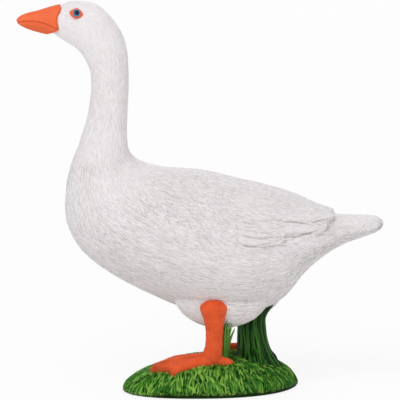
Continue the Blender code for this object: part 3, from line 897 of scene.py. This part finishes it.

# Plumage. Head, neck, body, thighs, folded wings and tail in one skin, with the feathers cut into it as
# short strokes. White matt paint, with a thin warm grey wash left in the strokes and hollows, which also
# paints their shade.
LEFT_THIGH_X = 2.0
RIGHT_THIGH_X = 5.2
THIGH_LENGTH = 20.4
THIGH_WIDTH = 8.2
THIGH_HEIGHT = 16.0
THIGH_BOTTOM = 12.9
THIGH_SPREAD = 10.0
WING_SHELL_ANGLES = (12.4, 42.0, 20.2, 34.0)
WING_SHELL_SIZES = (7.4, 5.0, 0.4)
FLIGHT_FEATHER_ANGLES = [
    (15.1, 72.0, 17.6, 69.0),
    (15.0, 65.0, 17.6, 62.0),
    (14.9, 58.0, 20.1, 50.0),
    (14.4, 42.0, 20.3, 30.0),
    (14.2, 26.0, 20.5, 20.0),
    (14.6, 10.0, 20.4, 8.0),
]
FLIGHT_FEATHER_SIZES = [
    (1.05, 0.85, 0.6),
    (1.0, 0.9, 0.9),
    (1.0, 2.2, 1.2),
    (4.0, 1.4, 1.8),
    (3.2, 2.4, 1.55),
    (2.6, 2.2, 1.25),
]
COVERT_ROW_ANGLES = [(12.5, 30.0, 62.0), (13.2, 24.0, 66.0), (13.9, 20.0, 70.0)]
COVERTS_IN_ROW = [5, 6, 7]
COVERT_SECTIONS = 1.3
COVERT_HALF_WIDTH = 1.7
COVERT_LIFT = 0.32
FEATHER_ROOT_DEPTH = 1.2
TAIL_FEATHERS = 7
TAIL_FAN_ANGLE = 66.0
TAIL_FEATHER_HALF_WIDTH = 1.6
TAIL_FEATHER_LIFT = 0.32
PLUMAGE_GRAIN = 0.175
PLUMAGE_SMOOTHING = 7
PLUMAGE_SHARE = 0.7
SWELL_SIZE = 2.2
SWELL_HEIGHT = 0.05
SHADE_AND_WASH_ROUNDS = 26
SHADE_AND_WASH_DEPTH = 0.15


def feather(angles, sizes, side, along, across, edge=0.5):
    """One feather laid on the skin. It rises out of it at its root and its round tip stands
    proud by its lift; side is 1 or -1, and edge is how far its borders fall below its middle."""
    first, first_angle, last, last_angle = angles
    root_half, tip_half, lift = sizes

    def place(u, v, w):
        spot = first + (last - first) * u
        rounding = math.sqrt(1 - (0.985 * abs(2 * u - 1)) ** 8)
        half = (root_half + (tip_half - root_half) * u) * rounding
        angle = math.radians(first_angle + (last_angle - first_angle) * u)
        angle += v * half / radius(between(GOOSE, spot))
        crown = lift * (0.1 + 0.9 * u ** 0.6) * (1 - edge * v ** 4) * (1 - 0.3 * u ** 6)
        return goose_point(spot, side * angle, crown if w else -FEATHER_ROOT_DEPTH)

    return plate(place, along, across)


def thigh(middle_x, side):
    """The feathered thigh, a swelling low on the side of the body."""
    bm = ball(around=64, along=40)
    bm.transform(Matrix.Diagonal((THIGH_LENGTH / 2, THIGH_WIDTH / 2, THIGH_HEIGHT / 2, 1)))
    middle = (middle_x, side * THIGH_SPREAD / 2, THIGH_BOTTOM + THIGH_HEIGHT / 2)
    bm.transform(Matrix.Translation(middle))
    return bm


def plumage_forms():
    """The closed forms that the plumage is fused from."""
    forms = [skin_form, thigh(LEFT_THIGH_X, -1), thigh(RIGHT_THIGH_X, 1)]
    covert = (COVERT_HALF_WIDTH, COVERT_HALF_WIDTH, COVERT_LIFT)
    for side in (-1, 1):
        shell = feather(WING_SHELL_ANGLES, WING_SHELL_SIZES, side, along=30, across=24, edge=1.0)
        forms.append(shell)
        for (place, first, last), count in zip(COVERT_ROW_ANGLES, COVERTS_IN_ROW):
            for i in range(count):
                angle = first + (last - first) * i / (count - 1)
                angles = (place, angle, place + COVERT_SECTIONS, angle)
                forms.append(feather(angles, covert, side, along=12, across=10, edge=0.8))
        for angles, sizes in zip(FLIGHT_FEATHER_ANGLES, FLIGHT_FEATHER_SIZES):
            forms.append(feather(angles, sizes, side, along=24, across=14))
    last = len(GOOSE) - 1
    middle = (TAIL_FEATHERS - 1) / 2
    sizes = (TAIL_FEATHER_HALF_WIDTH, TAIL_FEATHER_HALF_WIDTH, TAIL_FEATHER_LIFT)
    for i in range(TAIL_FEATHERS):
        turn = (i - middle) / middle
        angle = turn * TAIL_FAN_ANGLE
        angles = (last - 3.6, angle, last - 0.55 - 0.25 * abs(turn), angle)
        forms.append(feather(angles, sizes, 1, along=16, across=8))
    return forms


# Lines pressed into the wings and the tail once their feathers are fused: the gap under the upper
# wing, the lower edges of the feathers below it and two lines along the tail. Each has its depth
# and its points (x, z), where the line of sight of the camera crosses the middle plane.
SIGHT_SLOPE = 10.0
SIGHT_START = 40.0
CREASE_STEPS = 14
CREASE_WIDTH = 0.2
CREASE_FRONT = 3.0
CREASES = [
    (0.28, [(6.0, 34.19), (7.37, 33.9), (8.92, 33.75)]),
    (0.55, [(14.4, 34.1), (15.96, 34.2), (17.27, 34.14), (18.42, 34.0), (19.9, 33.75)]),
    (0.25, [(20.2, 33.85), (20.83, 34.08), (22.72, 34.6), (24.6, 34.7)]),
    (0.2, [(6.0, 34.2), (5.2, 33.7), (5.0, 33.1), (5.4, 32.5), (7.3, 32.3), (11.9, 31.6), (13.9, 32.0)]),
    (0.2, [(5.4, 32.5), (4.9, 32.1), (5.1, 31.8), (6.6, 31.2), (9.7, 30.6), (12.7, 31.1), (13.9, 32.0)]),
    (0.26, [(5.3, 31.7), (4.9, 31.0), (5.1, 30.3), (5.8, 29.5), (7.9, 28.9), (11.6, 29.5), (13.9, 29.9)]),
    (0.15, [(13.9, 32.0), (14.2, 31.0), (13.9, 29.9)]),
    (0.3, [(13.9, 30.7), (15.5, 30.95), (17.3, 31.0), (18.5, 31.4), (20.4, 31.8), (22.7, 32.9)]),
    (0.2, [(20.8, 34.1), (21.6, 33.7), (22.3, 33.3)]),
    (0.18, [(25.42, 32.9), (26.4, 33.05), (27.3, 33.33)]),
    (0.18, [(25.21, 30.36), (27.3, 31.21), (30.23, 31.73), (33.0, 32.7)]),
]


def tree_of(points):
    """A tree that finds points near a place."""
    tree = KDTree(len(points))
    for i, point in enumerate(points):
        tree.insert(point, i)
    tree.balance()
    return tree


def creases(mesh):
    """How deep the lines are pressed in at each point of the plumage, the same on both sides."""
    bm = bmesh.new()
    bm.from_mesh(mesh)
    surface = BVHTree.FromBMesh(bm)
    bm.free()
    slope = math.radians(SIGHT_SLOPE)
    route = []
    depths = []
    for depth, line in CREASES:
        steps = CREASE_STEPS * (len(line) - 1)
        for i in range(steps + 1):
            x, z = between(line, i * (len(line) - 1) / steps)
            fade = min(1, 2.2 * i / steps + 0.25, 5 * (1 - i / steps) + 0.2)
            for side in (-1, 1):
                start = Vector((x, side * SIGHT_START, z + SIGHT_START * math.tan(slope)))
                sight = Vector((0, -side * math.cos(slope), -math.sin(slope)))
                route.append(surface.ray_cast(start, sight)[0])
                depths.append(depth * fade)
    tree = tree_of(route)
    points = points_of(mesh)
    pressed = np.zeros(len(points))
    low = min(hit.z for hit in route) - 1
    high = max(hit.z for hit in route) + 1
    near = (points[:, 0] > CREASE_FRONT) & (points[:, 2] > low) & (points[:, 2] < high)
    for i in np.flatnonzero(near):
        _, index, away = tree.find(points[i])
        pressed[i] = depths[index] * math.exp(-(away / CREASE_WIDTH) ** 2)
    return pressed


# Strokes and lines of the feathers. Strokes are cut into the plumage one by one. The fine lines
# between them follow the same lie, and the paint makes them. They stay about as wide from neck to
# body: two sets of them take turns, and each changes its number where only the other is seen.
SECTION_STEP = 3.2
SHOULDER_PLACE = 13.2
SHOULDER_ANGLE = 0.95
LINE_LENGTH = 1.0
LINE_WIDTH = 0.165
LINE_RADIUS = 3.4
LINE_DEPTH = 0.18
LINE_SHADE_AND_WASH = 0.3
LINE_STRENGTH_PLACES = (2.0, 6.0, 16.0, 18.0)
LINE_STRENGTHS = (0.75, 1.0, 1.0, 1.25)
SWAY = 0.7
SWAY_SIZE = 4.0
STROKE_SEED = 3
HEAD_END = 4.0
NECK_END = 9.0
WING_START = 15.0
TAIL_START = 20.6
WING_EDGE_ANGLE = 1.33
BELLY_ANGLE = 1.9
HEAD_STROKE = (0.45, 0.15, 0.04)
NECK_STROKE = (1.0, 0.15, 0.07)
TAIL_STROKE = (1.1, 0.17, 0.12)
WING_STROKE = (1.1, 0.16, 0.11)
BELLY_STROKE = (0.75, 0.17, 0.15)
BODY_STROKE = (0.75, 0.15, 0.09)
SHOULDER_DEPTH = 0.05


def skin_samples():
    """Samples of the skin: where each is, the ways along and around it, its place and angle."""
    rows = []
    step = 0.02
    for i in range(2, 240):
        place = i * 0.1
        for turn in range(-180, 180, 6):
            angle = math.radians(turn)
            ahead = goose_point(place + step, angle) - goose_point(place - step, angle)
            around = goose_point(place, angle + step) - goose_point(place, angle - step)
            here = goose_point(place, angle)
            rows.append((*here, *(ahead / step / 2), *(around / step / 2), place, angle))
    return np.array(rows)


def lie_of_feathers(points):
    """For each point, its place along the goose, its angle from the back and the way that its
    feathers lie."""
    samples = skin_samples()
    tree = tree_of(samples[:, :3])
    nearest = samples[[tree.find(point)[1] for point in points]]
    offset = points - nearest[:, :3]
    ahead = nearest[:, 3:6]
    around = nearest[:, 6:9]
    place = nearest[:, 9] + (offset * ahead).sum(axis=1) / (ahead ** 2).sum(axis=1)
    angle = nearest[:, 10] + (offset * around).sum(axis=1) / (around ** 2).sum(axis=1)
    return place, np.abs(angle), ahead


def on_shoulder(place, angle):
    """1 on the shoulders, where the feathers cross each other, falling to 0 round them."""
    along = ramp(np.abs(place - SHOULDER_PLACE), 2.2, 0)
    across = ramp(np.abs(angle - SHOULDER_ANGLE), 0.75, 0)
    return np.minimum(1, 2 * along) * np.minimum(1, 2 * across)


def fine_lines(mesh):
    """Keeps the place of each point among the fine lines, for the paint to draw them."""
    points = points_of(mesh)
    place, angle, _ = lie_of_feathers(points)
    radii = np.interp(place, range(len(GOOSE)), [radius(section) for section in GOOSE])
    octave = np.log2(radii / LINE_RADIUS)
    first = LINE_RADIUS * 4 ** np.round(octave / 2)
    second = 2 * LINE_RADIUS * 4 ** np.floor(octave / 2)
    sway = SWAY * noise_at(points, SWAY_SIZE)
    along = place * SECTION_STEP / LINE_LENGTH
    for name, reach in (("first_lines", first), ("second_lines", second)):
        across = (angle * reach + sway) / LINE_WIDTH
        spots = np.stack([along, across, np.zeros(len(points))], axis=1)
        mesh.attributes.new(name, "FLOAT_VECTOR", "POINT").data.foreach_set("vector", spots.ravel())
    second_share = 1 - np.abs(1 - np.mod(octave, 2))
    keep(mesh, "second_share", np.clip(1.2 * second_share - 0.1, 0, 1))
    keep(mesh, "line_strength", np.interp(place, LINE_STRENGTH_PLACES, LINE_STRENGTHS))


def stroke_look(place, angle):
    """Half length, half width and depth of the strokes at a place of the skin."""
    if place < HEAD_END:
        return HEAD_STROKE
    if place < NECK_END:
        return NECK_STROKE
    if place > TAIL_START:
        return TAIL_STROKE
    if place > WING_START and angle < WING_EDGE_ANGLE:
        return WING_STROKE
    if angle > BELLY_ANGLE:
        return BELLY_STROKE
    length, width, depth = BODY_STROKE
    return length, width, depth + SHOULDER_DEPTH * float(on_shoulder(place, angle))


def stroked(mesh):
    """Feather strokes all over the plumage, side by side and never twice in one place: the height
    that they give each point."""
    chance = random.Random(STROKE_SEED)
    points = points_of(mesh)
    normals = points_of(mesh, "normal")
    places, angles, ways = lie_of_feathers(points)
    crossing = on_shoulder(places, angles)
    tree = tree_of(points)
    covered = np.zeros(len(points), dtype=bool)
    relief = np.zeros(len(points))
    order = list(range(len(points)))
    chance.shuffle(order)
    for start in order:
        if covered[start]:
            continue
        centre = points[start]
        outward = normals[start]
        length, width, depth = stroke_look(places[start], angles[start])
        length *= chance.uniform(0.7, 1.3)
        depth *= chance.uniform(0.5, 1.25)
        turn = 0.35 * noise.noise(Vector(centre) / SWAY_SIZE) + chance.gauss(0, 0.08)
        downwards = math.copysign(chance.choice((0.1, 0.75, 0.8, -0.5)), centre[1])
        turn += downwards * crossing[start]
        ahead = ways[start] - outward * (ways[start] @ outward)
        ahead /= max(np.linalg.norm(ahead), 1e-6)
        sideways = np.cross(outward, ahead)
        ahead, sideways = (
            ahead * math.cos(turn) + sideways * math.sin(turn),
            sideways * math.cos(turn) - ahead * math.sin(turn),
        )
        near = np.array([i for _, i, _ in tree.find_range(centre, length * 1.05)])
        offset = points[near] - centre
        facing = normals[near] @ outward > 0.2
        along = offset @ ahead / length
        across = (offset @ sideways) / width
        share = np.clip(1 - across ** 2, 0, 1) * np.clip(1 - along ** 4, 0, 1) * facing
        relief[near] = np.minimum(relief[near], -depth * share)
        covered[near] |= facing & (np.abs(across) < 2.0) & (np.abs(along) < 0.9)
    return relief


def cut_in_half(mesh, name, side):
    """The half of a mesh on one side of the middle plane, closed there."""
    bm = bmesh.new()
    bm.from_mesh(mesh)
    everything = bm.verts[:] + bm.edges[:] + bm.faces[:]
    cut = bmesh.ops.bisect_plane(
        bm, geom=everything, plane_co=(0, 0, 0), plane_no=(0, side, 0), clear_inner=True
    )
    rim = [item for item in cut["geom_cut"] if isinstance(item, bmesh.types.BMEdge)]
    bmesh.ops.triangle_fill(bm, use_beauty=False, use_dissolve=True, edges=rim)
    for edge in rim:
        edge.smooth = False
    return as_mesh(name, bm)


def plumage():
    """The whole plumage in millimetres, with its strokes and the hollows that hold the wash and the
    painted shade.
    """
    mesh = fused("plumage", plumage_forms(), PLUMAGE_GRAIN, PLUMAGE_SMOOTHING)
    relief = stroked(mesh)
    points = points_of(mesh)
    relief = np.minimum(relief, -creases(mesh))
    pushed_out(mesh, points, relief + noise_at(points, SWELL_SIZE) * SWELL_HEIGHT)
    # Wash and painted shade: darker the deeper a point lies below its surroundings.
    keep(mesh, "shade_and_wash", np.clip(hollows(mesh, SHADE_AND_WASH_ROUNDS, SHADE_AND_WASH_DEPTH), 0, 1))
    mesh = modified(mesh, "DECIMATE", ratio=PLUMAGE_SHARE)
    fine_lines(mesh)
    return mesh


def lined(material):
    """Adds the fine lines of the feathers to a paint: low lines that hold a little of its wash, which
    also paints their shade.
    """
    tree = material.node_tree
    shader = tree.nodes["Principled BSDF"]
    patterns = []
    for name in ("first_lines", "second_lines"):
        place = attribute(tree, name, "Vector")
        inputs = {"Vector": place, "Scale": 1.0, "Detail": 1.0}
        pattern = node(tree, "ShaderNodeTexNoise", inputs, noise_dimensions="2D")
        patterns.append(pattern.outputs["Fac"])
    share = attribute(tree, "second_share")
    inputs = {"Factor": share, "A": patterns[0], "B": patterns[1]}
    lines = node(tree, "ShaderNodeMix", inputs).outputs["Result"]
    strength = attribute(tree, "line_strength")
    # Painted shade and wash: the low parts of the lines are darkened.
    inputs = {"Value": lines, "From Min": 0.55, "From Max": 0.35, "To Max": LINE_SHADE_AND_WASH}
    dark = node(tree, "ShaderNodeMapRange", inputs).outputs["Result"]
    inputs = {0: dark, 1: strength, 2: attribute(tree, "shade_and_wash")}
    shade_and_wash = node(tree, "ShaderNodeMath", inputs, operation="MULTIPLY_ADD")
    feed(tree, tree.nodes["coat"], {"Shade and wash": shade_and_wash.outputs["Value"]})
    height = node(tree, "ShaderNodeMath", {0: lines, 1: strength}, operation="MULTIPLY")
    grain = shader.inputs["Normal"].links[0].from_socket
    inputs = {"Height": height.outputs["Value"], "Distance": LINE_DEPTH * MM, "Normal": grain}
    bump = node(tree, "ShaderNodeBump", inputs)
    feed(tree, shader, {"Normal": bump.outputs["Normal"]})


plumage_paint = paint(
    "white plumage paint", (0.89, 0.855, 0.863), (0.87, 0.835, 0.843), (0.50, 0.43, 0.42),
    strength=0.8, drift=180, grain=6000, grain_depth=0.02, specular=0.3,
)
lined(plumage_paint)
plumage_mesh = plumage()
for half_name, half_side in (("left_plumage", -1), ("right_plumage", 1)):
    half_mesh = cut_in_half(plumage_mesh, half_name, half_side)
    finished(half_name, half_mesh, plumage_paint)

# Bill. Moulded with the head and painted orange, with a fine groove for the mouth. The feathers
# of the face end at it in a line that bows forwards between its upper and lower corner.
BILL_ROWS = [
    (-28.8, 74.2, 78.8, 1.8),
    (-30.4, 73.3, 79.25, 2.72),
    (-31.6, 73.0, 79.15, 2.6),
    (-33.6, 73.0, 78.6, 2.3),
    (-35.7, 73.5, 77.95, 2.0),
    (-37.6, 74.1, 77.5, 1.68),
    (-39.0, 74.75, 76.95, 1.3),
    (-40.0, 75.35, 76.3, 0.85),
]
BILL_BORDER = [
    (-34.0, 72.9), (-33.3, 73.2), (-32.0, 73.7), (-31.15, 74.1), (-31.4, 75.0), (-31.62, 75.8),
    (-31.62, 76.6), (-31.45, 77.4), (-31.0, 78.1), (-30.7, 78.8), (-31.0, 79.2),
]
MOUTH_LINE = [
    (-39.6, 75.6), (-38.5, 75.9), (-36.6, 75.97), (-35.5, 75.87), (-34.3, 75.6), (-33.1, 75.1),
    (-31.9, 74.5),
]
MOUTH_DEPTH = 0.16
MOUTH_WIDTH = 0.15
BORDER_SINK = 0.9
BORDER_SOFTNESS = 0.16
BILL_GRAIN = 0.09
BILL_SMOOTHING = 3


def bill():
    """The bill runs on inside the head. Behind the border it sinks out of sight."""
    sections = [(x, low, x, high, half) for x, low, high, half in BILL_ROWS]
    whole = drawn(sections, around=48, along=64)
    mesh = fused("bill", [whole], BILL_GRAIN, BILL_SMOOTHING)
    points = points_of(mesh)
    x, _, z = points.T
    border_x, border_z = np.array(BILL_BORDER).T
    behind = (x - np.interp(z, border_z, border_x)) / BORDER_SOFTNESS
    sunk = BORDER_SINK * np.clip(behind * 0.5 + 0.5, 0, 1) ** 2
    mouth_x, mouth_z = np.array(MOUTH_LINE).T
    away = (z - np.interp(x, mouth_x, mouth_z)) / MOUTH_WIDTH
    groove = np.exp(-away ** 2)
    pushed_out(mesh, points, -sunk - groove * MOUTH_DEPTH)
    # Painted shade: darker in the mouth groove, along the border where the bill sinks into the head, and
    # on the lower bill below the mouth line.
    edge = np.clip(1 - np.abs(behind + 0.8) / 1.6, 0, 1)
    below = np.clip(-away / 8, 0, 1) * (away < 0)
    keep(mesh, "shade_and_wash", np.clip(groove * 0.75 + edge * 0.5 + below * 0.25, 0, 1))
    return mesh


bill_paint = paint(
    "orange bill paint", (0.90, 0.165, 0.056), (0.84, 0.14, 0.045), (0.46, 0.045, 0.010),
    strength=0.9, drift=300, grain=5000, grain_depth=0.015, specular=0.2,
)
finished("bill", bill(), bill_paint)

# Eyes. A domed eye in an almond-shaped lid on each side of the head. The lid is painted orange,
# the iris blue with a darker rim, and the pupil nearly black, under gloss varnish.
EYE_SECTION = 2.24
EYE_ANGLE = 59.0
EYE_DIAMETER = 1.9
EYE_THICKNESS = 1.1
EYE_SINK = 0.02
LID_LENGTH = 2.95
LID_HEIGHT = 2.35
LID_THICKNESS = 0.7
LID_RISE = 0.02
LID_POINT = 1.5
LID_TILT = 6.0
EYE_RINGS = [
    (0.5, (0.002, 0.012, 0.03)),
    (0.6, (0.07, 0.24, 0.40)),
    (0.78, (0.06, 0.20, 0.38)),
    (0.92, (0.02, 0.05, 0.10)),
]


def eye_frame(side):
    """Turns and moves a form from its own axes to the eye: x forwards, y up and z outwards."""
    angle = side * math.radians(EYE_ANGLE)
    centre = goose_point(EYE_SECTION, angle)
    outward = (goose_point(EYE_SECTION, angle, 1.0) - centre).normalized()
    forward = Vector((-1, 0, 0))
    forward = (forward - outward * forward.dot(outward)).normalized()
    upward = Vector((0, 0, 1))
    upward = (upward - outward * upward.dot(outward) - forward * upward.dot(forward)).normalized()
    turn = Matrix((forward, upward, outward)).transposed().to_4x4()
    tilt = Matrix.Rotation(math.radians(LID_TILT), 4, "Z")
    return Matrix.Translation(centre) @ turn @ tilt


def eyeball(side):
    """A flat round dome, kept with how far its points are from the middle of the pupil."""
    bm = ball(around=40, along=24)
    half = EYE_DIAMETER / 2
    bm.transform(Matrix.Diagonal((half, half, EYE_THICKNESS / 2, 1)))
    mesh = as_mesh("eyeball", bm)
    x, y, _ = points_of(mesh).T
    keep(mesh, "from_pupil", np.hypot(x, y) / half)
    mesh.transform(eye_frame(side) @ Matrix.Translation((0, 0, -EYE_SINK)))
    return mesh


def lid(side):
    """A low dome round the eye, drawn out to a point in front and behind."""
    bm = ball(around=64, along=16)
    for vert in bm.verts:
        around = math.atan2(vert.co.y, vert.co.x)
        out = math.hypot(vert.co.x, vert.co.y)
        power = abs(math.cos(around)) ** LID_POINT + abs(math.sin(around)) ** LID_POINT
        reach = out * power ** (-1 / LID_POINT)
        vert.co.x = math.cos(around) * reach * LID_LENGTH / 2
        vert.co.y = math.sin(around) * reach * LID_HEIGHT / 2
        vert.co.z *= LID_THICKNESS / 2
    mesh = as_mesh("lid", bm)
    x, y, _ = points_of(mesh).T
    # Painted shade: the lid is darker towards the bottom.
    keep(mesh, "shade_and_wash", np.clip(0.15 - y * 0.2, 0, 1))
    mesh.transform(eye_frame(side) @ Matrix.Translation((0, 0, LID_RISE)))
    return mesh


def eye_paint():
    """Rings of colour round the pupil, under varnish."""
    material, tree, shader = new_material("glossy eye paint")
    rings = node(tree, "ShaderNodeValToRGB", {"Fac": attribute(tree, "from_pupil")})
    stops = rings.color_ramp.elements
    for i, (position, colour) in enumerate(EYE_RINGS):
        stop = stops[i] if i < len(stops) else stops.new(position)
        stop.position = position
        stop.color = (*colour, 1)
    feed(tree, shader, {
        "Base Color": rings.outputs["Color"], "Roughness": 0.3, "Specular IOR Level": 0.2,
        "Coat Weight": 0.12, "Coat Roughness": 0.05,
    })
    return material


gloss_paint = eye_paint()
for eye_name, eye_side in (("left", -1), ("right", 1)):
    finished(eye_name + "_eyelid", lid(eye_side), bill_paint)
    finished(eye_name + "_eyeball", eyeball(eye_side), gloss_paint)

# Floor, light and camera. A plain white floor, soft lamps above the near side, beside the tail
# and behind, and the photograph's long lens, which looks 10 degrees down on the goose.
FLOOR_SIZE = 3.0
FLOOR_GAP = 0.05
PIXELS = 400
PIXELS_PER_MM = 4.886
FRAME_CENTRE_X = -2.456
FRAME_CENTRE_Z = 38.65
CAMERA_ELEVATION = 10.0
CAMERA_DISTANCE = 3.0
FLOOR_WHITE = 0.95
FLOOR_GLOW = 0.8
ROOM_LIGHT = 0.6
LAMP_AIM = (0.0, 0.0, 0.04)


def floor():
    """A white floor that glows a little to the camera, so that it meets the white room."""
    bm = bmesh.new()
    bmesh.ops.create_grid(bm, x_segments=1, y_segments=1, size=FLOOR_SIZE / 2)
    bmesh.ops.translate(bm, verts=bm.verts, vec=(0, 0, -FLOOR_GAP * MM))
    mesh = mesh_of("floor", bm)
    material, tree, shader = new_material("white floor")
    white = (FLOOR_WHITE, FLOOR_WHITE, FLOOR_WHITE, 1)
    feed(tree, shader, {"Base Color": white, "Roughness": 0.9, "Specular IOR Level": 0.0})
    glow = node(tree, "ShaderNodeEmission", {"Strength": 1.0}).outputs["Emission"]
    seen = node(tree, "ShaderNodeLightPath").outputs["Is Camera Ray"]
    amount = node(tree, "ShaderNodeMath", {0: seen, 1: FLOOR_GLOW}, operation="MULTIPLY")
    inputs = {0: amount.outputs["Value"], 1: shader.outputs["BSDF"], 2: glow}
    mix = node(tree, "ShaderNodeMixShader", inputs)
    feed(tree, tree.nodes["Material Output"], {"Surface": mix.outputs["Shader"]})
    mesh.materials.append(material)
    added("floor", mesh)


def world():
    """White to the camera, and plain soft grey light to everything else."""
    sky = bpy.data.worlds.new("soft white room")
    sky.use_nodes = True
    tree = sky.node_tree
    seen = node(tree, "ShaderNodeLightPath").outputs["Is Camera Ray"]
    level = node(tree, "ShaderNodeMapRange", {"Value": seen, "To Min": ROOM_LIGHT, "To Max": 1.0})
    feed(tree, tree.nodes["Background"], {
        "Strength": level.outputs["Result"], "Color": (1, 1, 1, 1),
    })
    bpy.context.scene.world = sky


def lamp(name, place, size, power):
    """A soft square lamp that points at the goose."""
    light = bpy.data.lights.new(name, "AREA")
    light.size = size
    light.energy = power
    holder = added(name, light)
    holder.location = place
    holder.rotation_euler = (Vector(LAMP_AIM) - Vector(place)).to_track_quat("-Z", "Y").to_euler()


floor()
world()
lamp("key light", (-0.25, -0.55, 0.65), size=0.5, power=2.8)
lamp("fill light", (0.55, -0.35, 0.35), size=0.6, power=0.4)
lamp("back light", (0.1, 0.6, 0.5), size=0.6, power=1.2)

lens = bpy.data.cameras.new("camera")
camera = added("camera", lens)
tilt = math.radians(CAMERA_ELEVATION)
aim = Vector((FRAME_CENTRE_X * MM, 0, FRAME_CENTRE_Z * MM))
camera.location = aim + Vector((0, -math.cos(tilt), math.sin(tilt))) * CAMERA_DISTANCE
camera.rotation_euler = (aim - camera.location).to_track_quat("-Z", "Y").to_euler()
lens.sensor_width = 36.0
lens.lens = lens.sensor_width * CAMERA_DISTANCE / (PIXELS / PIXELS_PER_MM * MM)
lens.clip_start = 0.01
lens.clip_end = 30.0
bpy.context.scene.camera = camera
bpy.context.scene.view_settings.view_transform = "Standard"
